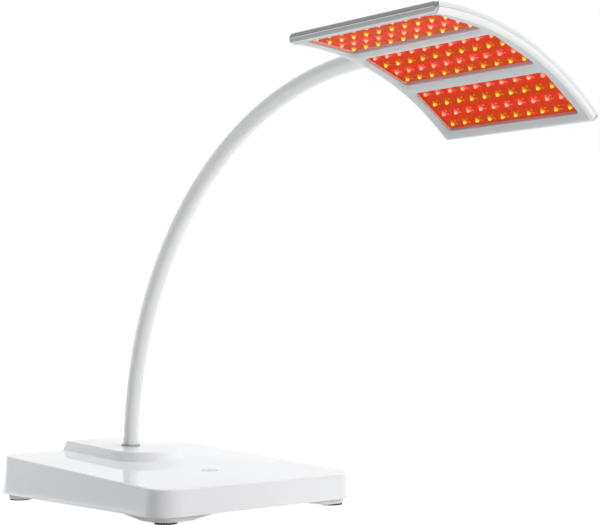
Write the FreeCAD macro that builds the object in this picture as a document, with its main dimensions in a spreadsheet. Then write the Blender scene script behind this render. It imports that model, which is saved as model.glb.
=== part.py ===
import FreeCAD, Part
import Sketcher
import math
import os
import re

# Red light therapy lamp: a weighted wedge base, a gooseneck arm that bends at three places,
# and an arched head with three windows of LEDs that turns about the end of the arm.
# Frame: +Z up, the front of the lamp towards -Y, origin on the ground under the base's centre.

os.makedirs("parts", exist_ok=True)
doc = FreeCAD.newDocument("therapy_lamp")
Vector = FreeCAD.Vector

# Driving sizes in millimetres and degrees
SIZES = {
    # moulded base cover
    "base_width": 260.0,
    "base_depth": 326.0,
    "base_corner": 27.0,
    "base_draft": 6.0,
    "wall_bottom": 8.0,
    "front_height": 34.5,
    "base_slope": 2.83,
    "cover_wall": 2.5,
    "cover_edge": 1.8,
    "platform_rise": 10.5,
    "platform_half": 37.0,
    "platform_draft": 24.0,
    "nose_reach": 23.5,
    "platform_edge": 1.6,
    # bottom tray and what it carries
    "tray_inset": 7.0,
    "tray_top": 14.0,
    "tray_flange": 2.6,
    "pod_bottom": 2.4,
    "pod_length": 36.0,
    "arch_top": 10.8,
    "foot_radius": 12.0,
    "foot_height": 3.4,
    "foot_inset": 22.0,
    "fit_gap": 0.3,
    "boss_radius": 4.5,
    "ballast_side": 35.0,
    "ballast_rear": 33.0,
    "ballast_front": 20.0,
    "ballast_height": 8.0,
    "ballast_hole": 17.0,
    # electronics in the base
    "board_width": 110.0,
    "board_depth": 56.0,
    "board_height": 1.6,
    "board_front": 75.0,
    "board_stand": 5.0,
    "button_front": 95.0,
    "button_radius": 8.2,
    "button_height": 3.2,
    "button_travel": 0.8,
    "switch_height": 4.0,
    "inlet_across": 62.0,
    "inlet_radius": 5.5,
    "inlet_height": 27.0,
    "inlet_length": 17.0,
    "inlet_bore": 3.2,
    "inlet_well": 9.0,
    "pin_radius": 1.05,
    "wire_radius": 2.0,
    # socket that clamps the arm's foot
    "socket_radius": 14.0,
    "socket_flange": 30.0,
    "socket_flange_height": 5.0,
    "collar_radius": 10.6,
    "collar_height": 1.4,
    # gooseneck arm
    "arm_back": 82.5,
    "foot_depth": 24.0,
    "bend_radius": 407.5,
    "tube_radius": 8.75,
    "sleeve_wall": 1.5,
    "coil_wall": 3.0,
    "lead_radius": 3.0,
    "slide_gap": 0.1,
    "joint_gap": 0.3,
    "lower_bend": 10.0,
    "middle_bend": 38.0,
    "upper_bend": 66.0,
    # swivel at the arm's end
    "head_reach": 107.5,
    "arm_straight": 27.5,
    "ferrule_cup": 8.0,
    "ferrule_end": 4.0,
    "ferrule_wall": 0.95,
    "spindle_radius": 6.0,
    "spindle_clear": 0.06,
    "friction_ring": 1.0,
    "block_length": 34.0,
    "block_radius": 11.5,
    "nut_height": 6.0,
    "nut_radius": 9.0,
    "hood_radius": 15.0,
    "hood_wall": 1.8,
    # head: arched shell and frame
    "axis_height": 18.0,
    "head_roll": 20.65,
    "head_margin": 12.8,
    "end_margin": 6.93,
    "arc_radius": 277.3,
    "face_drop": 2.4,
    "back_rise": 7.7,
    "skin": 1.4,
    "shell_wall": 1.9,
    "side_wall": 3.0,
    "part_line": 2.9,
    "trim_width": 3.0,
    "trim_groove": 0.9,
    "trim_corner": 4.0,
    "face_edge": 4.2,
    "back_edge": 2.2,
    "window_gap": 13.16,
    "window_length": 159.0,
    "window_width": 57.0,
    "window_corner": 5.0,
    "rim_margin": 4.0,
    "bezel_margin": 2.6,
    "bezel_lip": 0.8,
    "lens_drop": 0.9,
    "lens_height": 1.0,
    "led_board_drop": -2.3,
    "led_board_height": 1.2,
    "led_board_length": 164.0,
    "led_board_width": 58.0,
    "led_pitch": 16.0,
    "row_pitch": 14.6,
    "led_radius": 2.5,
    "led_height": 1.8,
    # fasteners
    "screw_radius": 1.5,
    "screw_head": 2.9,
    "head_height": 1.9,
}

sheet = doc.addObject("Spreadsheet::Sheet", "dims")
for row, (alias, value) in enumerate(SIZES.items(), 1):
    sheet.set(f"A{row}", alias)
    sheet.set(f"B{row}", str(value))
    sheet.setAlias(f"B{row}", alias)
doc.recompute()

# Sizes that follow from the driving ones
FOLLOWING = {
    "arm_foot": "(base_depth / 2 - arm_back)",
    "nose_centre": "(base_depth / 2 - arm_back - nose_reach)",
    "board_centre": "(board_front - base_depth / 2)",
    "button_place": "(button_front - base_depth / 2)",
    "ballast_width": "(base_width - 2 * ballast_side)",
    "ballast_depth": "(base_depth - ballast_rear - board_front - board_depth / 2 - ballast_front)",
    "ballast_centre": "((board_front + board_depth / 2 + ballast_front - ballast_rear) / 2)",
    "ballast_screw": "(base_width / 2 - ballast_side - ballast_hole)",
    "head_length": "(window_length + 2 * head_margin)",
    "board_step": "(2 * atan((window_width + window_gap) / (2 * arc_radius)) / 1 deg)",
    "half_angle": "((2 * atan((window_width + window_gap) / (2 * arc_radius))"
                  " + atan((window_width / 2 + end_margin) / arc_radius)) / 1 deg)",
}
NODES = {}


def formula(text):
    """Turn plain size names in a formula into references to the sheet."""
    whole = re.sub(r"[a-z_]+", lambda m: FOLLOWING.get(m[0], m[0]), str(text))
    return re.sub(r"[a-z_]+", lambda m: "dims." + m[0] if m[0] in SIZES else m[0], whole)


def size(text):
    """Work a formula out as a number, for sketches' first guesses and for counted copies."""
    result = sheet.evalExpression(formula(text))
    return float(getattr(result, "Value", result))


def bind(thing, **formulas):
    """Bind an object's sizes to formulas."""
    for prop, text in formulas.items():
        thing.setExpression(prop, formula(text))
    return thing


def place(thing, at=("0", "0", "0"), about=None, angle="0"):
    """Bind an object's place, and its turn about one axis."""
    if about is not None:
        turn = FreeCAD.Rotation(about, 30)
        thing.Placement = FreeCAD.Placement(Vector(0, 0, 0), turn)
        thing.setExpression("Placement.Rotation.Angle", formula(angle))
    for letter, text in zip("xyz", at):
        thing.setExpression(f"Placement.Base.{letter}", formula(text))
    return thing


X_AXIS = Vector(1, 0, 0)
Y_AXIS = Vector(0, 1, 0)


def block(name, length, depth, height, at, about=None, angle="0"):
    """A box centred on X and Y at its place, standing on it."""
    box = bind(doc.addObject("Part::Box", name), Length=length, Width=depth, Height=height)
    x, y, z = at
    return place(box, (f"({x}) - ({length}) / 2", f"({y}) - ({depth}) / 2", z), about, angle)


def rod(name, radius, height, at=("0", "0", "0"), about=None, angle="0"):
    """A cylinder that stands on its place."""
    cylinder = bind(doc.addObject("Part::Cylinder", name), Radius=radius, Height=height)
    return place(cylinder, at, about, angle)


def rod_along(name, radius, front, rear, x="0", z="0"):
    """A cylinder along Y from a front to a rear position."""
    return rod(name, radius, f"({rear}) - ({front})", (x, front, z), X_AXIS, "-90")


def ball(name, radius, at):
    """A sphere centred at its place."""
    return place(bind(doc.addObject("Part::Sphere", name), Radius=radius), at)


def fuse(name, *parts):
    """Several solids made one."""
    joined = doc.addObject("Part::MultiFuse", name)
    joined.Shapes = list(parts)
    joined.Refine = True
    return joined


def cut(name, base, *tools):
    """A solid less one or more tools."""
    tool = tools[0] if len(tools) == 1 else group(name + "_tools", *tools)
    result = doc.addObject("Part::Cut", name)
    result.Base = base
    result.Tool = tool
    result.Refine = True
    return result


def common(name, first, second):
    """What two solids share."""
    result = doc.addObject("Part::Common", name)
    result.Base = first
    result.Tool = second
    result.Refine = True
    return result


def group(name, *parts):
    """Separate solids kept in one object."""
    compound = doc.addObject("Part::Compound", name)
    compound.Links = list(parts)
    return compound


def node(label, thing):
    """Name a finished sub-part."""
    thing.Label = label
    NODES[label] = thing
    return thing


def round_edges(name, base, radius, chosen):
    """Round the edges that the chosen rule picks, with a radius from the sheet."""
    doc.recompute()
    picks = [i for i, edge in enumerate(base.Shape.Edges, 1) if chosen(edge)]
    rounded = doc.addObject("Part::Fillet", name)
    rounded.Base = base
    r = size(radius)
    rounded.Edges = [(i, r, r) for i in picks]
    return rounded


def origin_plane(body, role):
    """One of a body's own origin planes."""
    return next(f for f in body.Origin.OriginFeatures if f.Role == role)


def sketch_on(body, name, role, lift="0"):
    """A sketch on one of the body's origin planes, lifted along its normal."""
    sketch = body.newObject("Sketcher::SketchObject", name)
    sketch.AttachmentSupport = [(origin_plane(body, role), "")]
    sketch.MapMode = "FlatFace"
    sketch.setExpression("AttachmentOffset.Base.z", formula(lift))
    return sketch


def rounded_outline(sketch, width, depth, corner):
    """A rounded rectangle about the sketch's origin."""
    half_w = size(width) / 2
    half_d = size(depth) / 2
    r = size(corner)
    lines = []
    arcs = []
    starts = [(-half_w + r, -half_d), (half_w, -half_d + r), (half_w - r, half_d), (-half_w, half_d - r)]
    ends = [(half_w - r, -half_d), (half_w, half_d - r), (-half_w + r, half_d), (-half_w, -half_d + r)]
    centres = [(half_w - r, -half_d + r), (half_w - r, half_d - r), (-half_w + r, half_d - r), (-half_w + r, -half_d + r)]
    for k in range(4):
        lines.append(sketch.addGeometry(Part.LineSegment(Vector(*starts[k], 0), Vector(*ends[k], 0))))
        circle = Part.Circle(Vector(*centres[k], 0), Vector(0, 0, 1), r)
        first = math.radians(270 + 90 * k)
        arcs.append(sketch.addGeometry(Part.ArcOfCircle(circle, first, first + math.pi / 2)))
    for k in range(4):
        sketch.addConstraint(Sketcher.Constraint("Tangent", lines[k], 2, arcs[k], 1))
        sketch.addConstraint(Sketcher.Constraint("Tangent", arcs[k], 2, lines[(k + 1) % 4], 1))
        sketch.addConstraint(Sketcher.Constraint("Horizontal" if k % 2 == 0 else "Vertical", lines[k]))
    for k in (1, 2, 3):
        sketch.addConstraint(Sketcher.Constraint("Equal", arcs[0], arcs[k]))
    sketch.addConstraint(Sketcher.Constraint("Symmetric", arcs[0], 3, arcs[2], 3, -1, 1))
    bound(sketch, Sketcher.Constraint("Radius", arcs[0], r), corner)
    across = Sketcher.Constraint("DistanceX", lines[0], 1, lines[0], 2, 2 * (half_w - r))
    bound(sketch, across, f"({width}) - 2 * ({corner})")
    along = Sketcher.Constraint("DistanceY", lines[1], 1, lines[1], 2, 2 * (half_d - r))
    bound(sketch, along, f"({depth}) - 2 * ({corner})")


def bound(sketch, constraint, text):
    """Add a constraint whose value follows a formula."""
    index = sketch.addConstraint(constraint)
    sketch.setExpression(f"Constraints[{index}]", formula(text))


def pad_up(body, sketch, name, length, taper="0", reverse=False):
    """Pad a sketch, with walls that lean by the taper."""
    pad = body.newObject("PartDesign::Pad", name)
    pad.Profile = sketch
    pad.Reversed = reverse
    bind(pad, Length=length, TaperAngle=taper)
    return pad


def drafted_block(name, width, depth, corner, bottom, height, draft):
    """A rounded block whose walls lean inwards as they rise."""
    body = doc.addObject("PartDesign::Body", name)
    sketch = sketch_on(body, name + "_outline", "XY_Plane", bottom)
    rounded_outline(sketch, width, depth, corner)
    pad_up(body, sketch, name + "_pad", height, f"-({draft})")
    return body


def top_at(y):
    """Height of the cover's sloping top at a place along Y."""
    return f"(front_height + (({y}) + base_depth / 2) * tan(base_slope))"


BACK_HEIGHT = top_at("base_depth / 2")
PLATFORM_FOOT = f"({top_at('arm_foot')} + platform_rise)"


def above_slope(name, lift):
    """A tool that holds all space above the sloping top, raised by a lift."""
    tool = bind(doc.addObject("Part::Box", name), Length="base_width * 2", Width="base_depth * 2",
                Height="base_depth / 2")
    at = ("-base_width", f"-base_depth / 2 + ({lift}) * sin(base_slope) - 60 * cos(base_slope)",
          f"front_height + ({lift}) - 60 * sin(base_slope)")
    return place(tool, at, X_AXIS, "base_slope")


# Base cover: one gloss white moulding with drafted walls and a sloping top.
# A raised platform runs in from the back edge to a round nose and carries the arm.
def platform_prism(name, half, grow):
    """The platform's outline, with walls that lean outwards as they go down."""
    body = doc.addObject("PartDesign::Body", name)
    sketch = sketch_on(body, name + "_outline", "XY_Plane", f"{BACK_HEIGHT} + platform_rise")
    r = size(half)
    centre = size("nose_centre")
    back = size("base_depth")
    left = sketch.addGeometry(Part.LineSegment(Vector(-r, back, 0), Vector(-r, centre, 0)))
    circle = Part.Circle(Vector(0, centre, 0), Vector(0, 0, 1), r)
    nose = sketch.addGeometry(Part.ArcOfCircle(circle, math.pi, 2 * math.pi))
    right = sketch.addGeometry(Part.LineSegment(Vector(r, centre, 0), Vector(r, back, 0)))
    rear = sketch.addGeometry(Part.LineSegment(Vector(r, back, 0), Vector(-r, back, 0)))
    sketch.addConstraint(Sketcher.Constraint("Tangent", left, 2, nose, 1))
    sketch.addConstraint(Sketcher.Constraint("Tangent", nose, 2, right, 1))
    sketch.addConstraint(Sketcher.Constraint("Coincident", right, 2, rear, 1))
    sketch.addConstraint(Sketcher.Constraint("Coincident", rear, 2, left, 1))
    sketch.addConstraint(Sketcher.Constraint("Vertical", left))
    sketch.addConstraint(Sketcher.Constraint("Vertical", right))
    sketch.addConstraint(Sketcher.Constraint("PointOnObject", nose, 3, -2))
    bound(sketch, Sketcher.Constraint("Radius", nose, r), half)
    bound(sketch, Sketcher.Constraint("DistanceY", -1, 1, nose, 3, centre), "nose_centre")
    bound(sketch, Sketcher.Constraint("DistanceY", -1, 1, left, 1, back), "base_depth")
    sketch.addConstraint(Sketcher.Constraint("Horizontal", rear))
    pad_up(body, sketch, name + "_pad", grow, "platform_draft", True)
    return body


def cover_form(name, inset, lift, extra):
    """The cover's outer or inner form: a sloped block with the platform on its back."""
    block_body = drafted_block(name + "_block", f"base_width - 2 * ({inset})", f"base_depth - 2 * ({inset})",
                               f"base_corner - ({inset})", f"wall_bottom - ({extra})",
                               f"{BACK_HEIGHT} + platform_rise + 20", "base_draft")
    low = cut(name + "_low", block_body, above_slope(name + "_low_sky", lift))
    prism = platform_prism(name + "_prism", f"platform_half - ({inset}) * 0.8", f"platform_rise * 3")
    high = cut(name + "_high", prism, above_slope(name + "_high_sky", f"({lift}) + platform_rise"))
    return fuse(name, low, common(name + "_platform", high, block_body))


def is_top_edge(edge):
    """Whether an edge runs along the cover's sloping top, clear of the platform."""
    slope = math.tan(math.radians(size("base_slope")))
    for p in (edge.Vertexes[0].Point, edge.Vertexes[-1].Point, edge.valueAt(edge.FirstParameter * 0.5 + edge.LastParameter * 0.5)):
        level = size("front_height") + (p.y + size("base_depth") / 2) * slope
        if abs(p.z - level) > 0.05:
            return False
        if abs(p.x) < size("platform_half") * 1.4 and p.y > size("nose_centre") - size("platform_half") * 1.4:
            if abs(p.y - size("base_depth") / 2) > 20 or abs(p.x) < size("platform_half"):
                return False
    return True


def is_platform_edge(edge):
    """Whether an edge runs round the platform's top, apart from the back."""
    slope = math.tan(math.radians(size("base_slope")))
    points = [edge.Vertexes[0].Point, edge.Vertexes[-1].Point,
              edge.valueAt(edge.FirstParameter * 0.5 + edge.LastParameter * 0.5)]
    for p in points:
        level = size("front_height + platform_rise") + (p.y + size("base_depth") / 2) * slope
        if abs(p.z - level) > 0.05:
            return False
    return True


outer = cover_form("cover_outer", "0", "0", "0")
outer = round_edges("cover_platform_round", outer, "platform_edge", is_platform_edge)
outer = round_edges("cover_top_round", outer, "cover_edge", is_top_edge)
inner = cover_form("cover_inner", "cover_wall", "-cover_wall", "1")

SCREW_X = "(base_width / 2 - foot_inset)"
SCREW_Y = "(base_depth / 2 - foot_inset)"
TRAY_SCREWS = [(f"{sx} * {SCREW_X}", f"{sy} * {SCREW_Y}") for sx in (-1, 1) for sy in (-1, 0, 1)]

cover_shell = cut("cover_shell", outer, inner)
cover_bosses = [rod(f"cover_boss_{k}", "boss_radius", f"{top_at(y)} - tray_top - cover_wall / 2", (x, y, "tray_top"))
                for k, (x, y) in enumerate(TRAY_SCREWS)]
button_at = ("0", "button_place", top_at("button_place"))
button_guide = rod("button_guide", "button_radius + 5", "cover_wall + 4",
                   ("0", "button_place + (cover_wall / 2 + 5) * sin(base_slope)",
                    f"{top_at('button_place')} - (cover_wall / 2 + 5) * cos(base_slope)"), X_AXIS, "base_slope")
guide_in_cover = cut("guide_in_cover", button_guide, above_slope("guide_sky", "-cover_wall / 2"))
cover_solid = fuse("cover_solid", cover_shell, guide_in_cover, *cover_bosses)


def along_top_normal(y, height, depth):
    """A point below the top at y, down the top's own normal."""
    return ("0", f"({y}) + ({depth}) * sin(base_slope)", f"({height}) - ({depth}) * cos(base_slope)")


button_hole = rod("button_hole", "button_radius + fit_gap", "30",
                  along_top_normal("button_place", button_at[2], "cover_wall"), X_AXIS, "base_slope")
button_well = rod("button_well", "button_radius + 2", "20",
                  along_top_normal("button_place", button_at[2], "cover_wall + 20"), X_AXIS, "base_slope")
arm_hole = rod("arm_hole", "tube_radius + fit_gap", "40",
               along_top_normal("arm_foot", PLATFORM_FOOT, "20"), X_AXIS, "base_slope")
WALL_AT_INLET = "(base_depth / 2 - (inlet_height - wall_bottom) * tan(base_draft))"
inlet_hole = rod("inlet_hole", "inlet_radius + slide_gap", "30",
                 ("inlet_across", f"{WALL_AT_INLET} - 15 * cos(base_draft)", "inlet_height - 15 * sin(base_draft)"),
                 X_AXIS, "base_draft - 90")
boss_holes = [rod(f"boss_hole_{k}", "screw_radius - 0.2", "12", (x, y, "tray_top - 1"))
              for k, (x, y) in enumerate(TRAY_SCREWS)]
node("base_top_cover", cut("cover_drilled", cover_solid, button_hole, button_well, arm_hole, inlet_hole, *boss_holes))

# Bottom tray: an inset moulding whose underside is a saddle, so only its four corner pods come down.
TRAY_IN = "(cover_wall + fit_gap + (tray_top - wall_bottom) * tan(base_draft))"
pod_block = drafted_block("tray_pods", "base_width - 2 * tray_inset", "base_depth - 2 * tray_inset",
                          "base_corner - tray_inset", "pod_bottom", "tray_top - pod_bottom", "0")
flange = drafted_block("tray_flange_plate", f"base_width - 2 * {TRAY_IN}", f"base_depth - 2 * {TRAY_IN}",
                       f"base_corner - {TRAY_IN}", "tray_top - tray_flange", "tray_flange", "0")


def arch_tool(name, span, about, angle):
    """A long cylinder that hollows the tray's underside between two rows of pods."""
    half = f"({span} / 2 - tray_inset - pod_length)"
    rise = "(arch_top - pod_bottom)"
    radius = f"(({half} * {half} + {rise} * {rise}) / (2 * {rise}))"
    tool = rod(name, radius, "base_depth * 2", ("0", "0", "0"), about, angle)
    return tool, radius


across_tool, across_radius = arch_tool("arch_across", "base_depth", Y_AXIS, "90")
place(across_tool, ("-base_depth", "0", f"arch_top - {across_radius}"), Y_AXIS, "90")
along_tool, along_radius = arch_tool("arch_along", "base_width", X_AXIS, "-90")
place(along_tool, ("0", "-base_depth", f"arch_top - {along_radius}"), X_AXIS, "-90")
BOARD_POSTS = [(f"{sx} * (board_width / 2 - 7)", f"board_centre + {sy} * (board_depth / 2 - 6)")
               for sx in (-1, 1) for sy in (-1, 1)]
board_posts = [rod(f"board_post_{k}", "3.5", "board_stand + 1", (x, y, "tray_top - 1"))
               for k, (x, y) in enumerate(BOARD_POSTS)]
tray_body = fuse("tray_body", cut("tray_arched", pod_block, across_tool, along_tool), flange, *board_posts)
FEET = [(f"{sx} * {SCREW_X}", f"{sy} * {SCREW_Y}") for sx in (-1, 1) for sy in (-1, 1)]
foot_wells = [rod(f"foot_well_{k}", "foot_radius + slide_gap", "5", (x, y, "foot_height - 5"))
              for k, (x, y) in enumerate(FEET)]
SEAT = "(tray_top - 4)"
screw_wells = [rod(f"screw_well_{k}", "screw_head + fit_gap", f"{SEAT}", (x, y, "0"))
               for k, (x, y) in enumerate(TRAY_SCREWS)]
screw_ways = [rod(f"screw_way_{k}", "screw_radius + fit_gap", "tray_top + 2", (x, y, "0"))
              for k, (x, y) in enumerate(TRAY_SCREWS)]
post_holes = [rod(f"post_hole_{k}", "screw_radius - 0.2", "5", (x, y, "tray_top + board_stand - 5"))
              for k, (x, y) in enumerate(BOARD_POSTS)]
BALLAST_SCREWS = [(f"{sx} * ballast_screw", f"ballast_centre + {sy} * (ballast_depth / 2 - 14)")
                  for sx in (-1, 1) for sy in (-1, 1)]
ballast_ways = [rod(f"ballast_way_{k}", "screw_radius + 0.5", "ballast_height + 2.5",
                    (x, y, "tray_top - 2.3"))
                for k, (x, y) in enumerate(BALLAST_SCREWS)]
node("base_bottom_tray", cut("tray_drilled", tray_body, *foot_wells, *screw_wells, *screw_ways,
                             *post_holes, *ballast_ways))

# Four dark rubber pads pressed into the pods
node("rubber_feet", group("feet", *[rod(f"foot_{k}", "foot_radius", "foot_height", (x, y, "0"))
                                    for k, (x, y) in enumerate(FEET)]))


def screw(name, at, length, radius="screw_radius", head="screw_head", tall="head_height", about=None, angle="0",
          down=False):
    """A pan head screw: its shank starts at the seat and runs along its axis, its head lies behind."""
    low = f"-({tall})" if not down else "0"
    shank_low = "0" if not down else f"-({length})"
    shank = rod(name + "_shank", radius, length, ("0", "0", shank_low))
    cap = rod(name + "_head", head, tall, ("0", "0", low))
    return place(fuse(name, shank, cap), at, about, angle)


# Six screws hold the tray to the cover, four of them under the feet
node("tray_screws", group("tray_screw_set", *[
    screw(f"tray_screw_{k}", (x, y, SEAT), "11", radius="screw_radius - 0.2") for k, (x, y) in enumerate(TRAY_SCREWS)]))

# Ballast: a flat steel plate that keeps the lamp from tipping, screwed to the tray
ballast = block("ballast_blank", "ballast_width", "ballast_depth", "ballast_height",
                ("0", "ballast_centre", "tray_top"))
PLATE_TOP = "(tray_top + ballast_height)"
FLANGE_SCREWS = [("(socket_flange - 6) * cos(%d)" % a, "arm_foot + (socket_flange - 6) * sin(%d)" % a)
                 for a in (45, 135, 225, 315)]
flange_holes = [rod(f"flange_hole_{k}", "screw_radius", "6", (x, y, f"{PLATE_TOP} - 5.5"))
                for k, (x, y) in enumerate(FLANGE_SCREWS)]
plate_ways = [rod(f"plate_way_{k}", "screw_radius + 0.5", "ballast_height + 2", (x, y, "tray_top - 1"))
              for k, (x, y) in enumerate(BALLAST_SCREWS)]
node("ballast_plate", cut("ballast_drilled", ballast, *plate_ways, *flange_holes))
node("ballast_screws", group("ballast_screw_set", *[
    screw(f"ballast_screw_{k}", (x, y, PLATE_TOP), "ballast_height + 2", radius="screw_radius + 0.4", head="3.6",
          tall="2.2", down=True) for k, (x, y) in enumerate(BALLAST_SCREWS)]))

# Arm socket: a cast pillar on the plate, bored along the arm's lean, with two clamp screws
socket_base = rod("socket_flange_disc", "socket_flange", "socket_flange_height", ("0", "arm_foot", PLATE_TOP))
SOCKET_TOP = f"({PLATFORM_FOOT} - cover_wall - 2)"
pillar = rod("socket_pillar", "socket_radius", f"{SOCKET_TOP} - {PLATE_TOP}", ("0", "arm_foot", PLATE_TOP))
socket_bore = rod("socket_bore", "tube_radius + slide_gap", "60",
                  along_top_normal("arm_foot", PLATFORM_FOOT, "foot_depth"), X_AXIS, "base_slope")
lead_way = rod("socket_lead_way", "lead_radius + 1", "60",
               along_top_normal("arm_foot", PLATFORM_FOOT, "foot_depth + 3"), X_AXIS, "base_slope")
CLAMP_Z = f"({PLATFORM_FOOT} - foot_depth + 9)"
clamp_ways = [rod(f"clamp_way_{k}", "2.5", "socket_radius + 2", ("0", "arm_foot", CLAMP_Z), Y_AXIS, a)
              for k, a in enumerate(("90", "-90"))]
LEAD_TOP = f"({PLATFORM_FOOT} - foot_depth - 0.35)"
LEAD_Z = f"({LEAD_TOP} - lead_radius - 0.4)"
LEAD_Y = "(arm_foot + foot_depth * sin(base_slope))"
lead_exit = rod_along("socket_lead_exit", "lead_radius + 1", "arm_foot - socket_flange - 1",
                      f"{LEAD_Y} + lead_radius + 1", "0", LEAD_Z)
flange_ways = [rod(f"flange_way_{k}", "screw_radius + fit_gap", "socket_flange_height + 2", (x, y, f"{PLATE_TOP} - 1"))
               for k, (x, y) in enumerate(FLANGE_SCREWS)]
node("arm_socket", cut("socket_bored", fuse("socket_blank", socket_base, pillar), socket_bore, lead_way,
                       lead_exit, *clamp_ways, *flange_ways))
node("socket_screws", group("socket_screw_set", *[
    screw(f"socket_screw_{k}", (x, y, f"{PLATE_TOP} + socket_flange_height"), "socket_flange_height + 4.5",
          radius="screw_radius - 0.05", down=True) for k, (x, y) in enumerate(FLANGE_SCREWS)]))
node("clamp_screws", group("clamp_screw_set", *[
    rod(f"clamp_screw_{k}", "2.45", "socket_radius - tube_radius - 0.3",
        (f"{s} * (tube_radius + 0.15)", "arm_foot", CLAMP_Z), Y_AXIS, f"{s} * 90") for k, s in enumerate((1, -1))]))

# Collar: a thin ring where the arm leaves the platform
collar = rod("collar_disc", "collar_radius", "collar_height", along_top_normal("arm_foot", PLATFORM_FOOT, "0"),
             X_AXIS, "base_slope")
collar_hole = rod("collar_hole", "tube_radius + slide_gap", "20", along_top_normal("arm_foot", PLATFORM_FOOT, "5"),
                  X_AXIS, "base_slope")
node("arm_collar", cut("collar_ring", collar, collar_hole))

# Control board with its parts, on four posts of the tray
BOARD_TOP = "(tray_top + board_stand + board_height)"
LEAD_X = "34"
SOCKET_Y = "(board_centre + 17)"
board = block("board_blank", "board_width", "board_depth", "board_height", ("0", "board_centre", "tray_top + board_stand"))
board_ways = [rod(f"board_way_{k}", "screw_radius", "5", (x, y, "tray_top + board_stand - 1"))
              for k, (x, y) in enumerate(BOARD_POSTS)]
node("control_board", cut("board_drilled", board, *board_ways))
node("board_screws", group("board_screw_set", *[
    screw(f"board_screw_{k}", (x, y, BOARD_TOP), "5.5", radius="screw_radius - 0.25", down=True)
    for k, (x, y) in enumerate(BOARD_POSTS)]))
node("board_components", group(
    "components",
    block("microcontroller", "9", "9", "1.2", ("-24", "board_centre + 4", BOARD_TOP)),
    block("driver_coil", "12", "12", "6", ("26", "board_centre - 4", BOARD_TOP)),
    block("led_socket", "16", "7", "7", (f"-{LEAD_X}", SOCKET_Y, BOARD_TOP)),
    block("inlet_socket", "10", "7", "7", (LEAD_X, SOCKET_Y, BOARD_TOP)),
    rod("smoothing_capacitor", "4", "8", ("2", "board_centre - 14", BOARD_TOP)),
    rod("buzzer", "5", "4", ("-40", "board_centre - 12", BOARD_TOP))))

# Push button: a flush round cap with a lip below and a stem that works the switch
CAP_LOW = "cover_wall + fit_gap"
cap = rod("button_cap", "button_radius", "cover_wall + fit_gap", along_top_normal("button_place", button_at[2], CAP_LOW),
          X_AXIS, "base_slope")
lip = rod("button_lip", "button_radius + 1.4", "1.2",
          along_top_normal("button_place", button_at[2], f"{CAP_LOW} + 1.2"), X_AXIS, "base_slope")
SWITCH_TOP = f"({BOARD_TOP} + switch_height + 1)"
stem = rod("button_stem", "2.6", f"{button_at[2]} - {SWITCH_TOP} - button_travel - 0.9 - {CAP_LOW}",
           along_top_normal("button_place", button_at[2], f"{button_at[2]} - {SWITCH_TOP} - button_travel - 0.9"),
           X_AXIS, "base_slope")
node("power_button", fuse("button_whole", cap, lip, stem))
node("tactile_switch", fuse("switch_whole",
                            block("switch_case", "6", "6", "switch_height", ("0", "button_place", BOARD_TOP)),
                            rod("switch_plunger", "1.7", "switch_height + 1", ("0", "button_place", BOARD_TOP))))

# Power inlet: a round low-voltage socket through the back wall
inlet_turn = "base_draft - 90"


def inlet_rod(name, radius, outside, length):
    """A cylinder on the inlet's axis that ends the given way outside the wall."""
    start = f"(({outside}) - ({length}))"
    at = ("inlet_across", f"{WALL_AT_INLET} + {start} * cos(base_draft)", f"inlet_height + {start} * sin(base_draft)")
    return rod(name, radius, length, at, X_AXIS, inlet_turn)


inlet_body = fuse("inlet_body", inlet_rod("inlet_barrel", "inlet_radius", "0.1", "inlet_length"),
                  inlet_rod("inlet_flange", "inlet_radius + 1.8", "1.3", "1.3"))
node("power_inlet", cut("inlet_whole", inlet_body, inlet_rod("inlet_mouth", "inlet_bore", "2", "2 + inlet_well"),
                        inlet_rod("inlet_pin_hole", "pin_radius", "0", "inlet_well + 1.5")))
node("inlet_pin", inlet_rod("inlet_pin_rod", "pin_radius", "-0.5", "inlet_well + 0.9"))
node("inlet_nut", cut("inlet_nut_ring", inlet_rod("inlet_nut_disc", "inlet_radius + 2.5", "-cover_wall - 0.2", "2.5"),
                      inlet_rod("inlet_nut_hole", "inlet_radius + 0.05", "0", "12")))

# Leads in the base: from the arm's foot to the board, and from the inlet to the board
LEAD_TURN_Y = "(board_centre + board_depth / 2 + 14)"
SOCKET_REAR = f"({SOCKET_Y} + 3.5)"


def lead_path(name, radius, points, ways):
    """A lead of straight runs along the axes, with a round corner at each turn."""
    pieces = []
    for k, way in enumerate(ways):
        low, high = (points[k], points[k + 1]) if way[0] == "+" else (points[k + 1], points[k])
        if way[1] == "x":
            pieces.append(rod(f"{name}_run_{k}", radius, f"({high[0]}) - ({low[0]})", low, Y_AXIS, "90"))
        elif way[1] == "y":
            pieces.append(rod_along(f"{name}_run_{k}", radius, low[1], high[1], low[0], low[2]))
        else:
            pieces.append(rod(f"{name}_run_{k}", radius, f"({high[2]}) - ({low[2]})", low))
    pieces += [ball(f"{name}_corner_{k}", radius, at) for k, at in enumerate(points[1:-1])]
    return fuse(name, *pieces)


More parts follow.
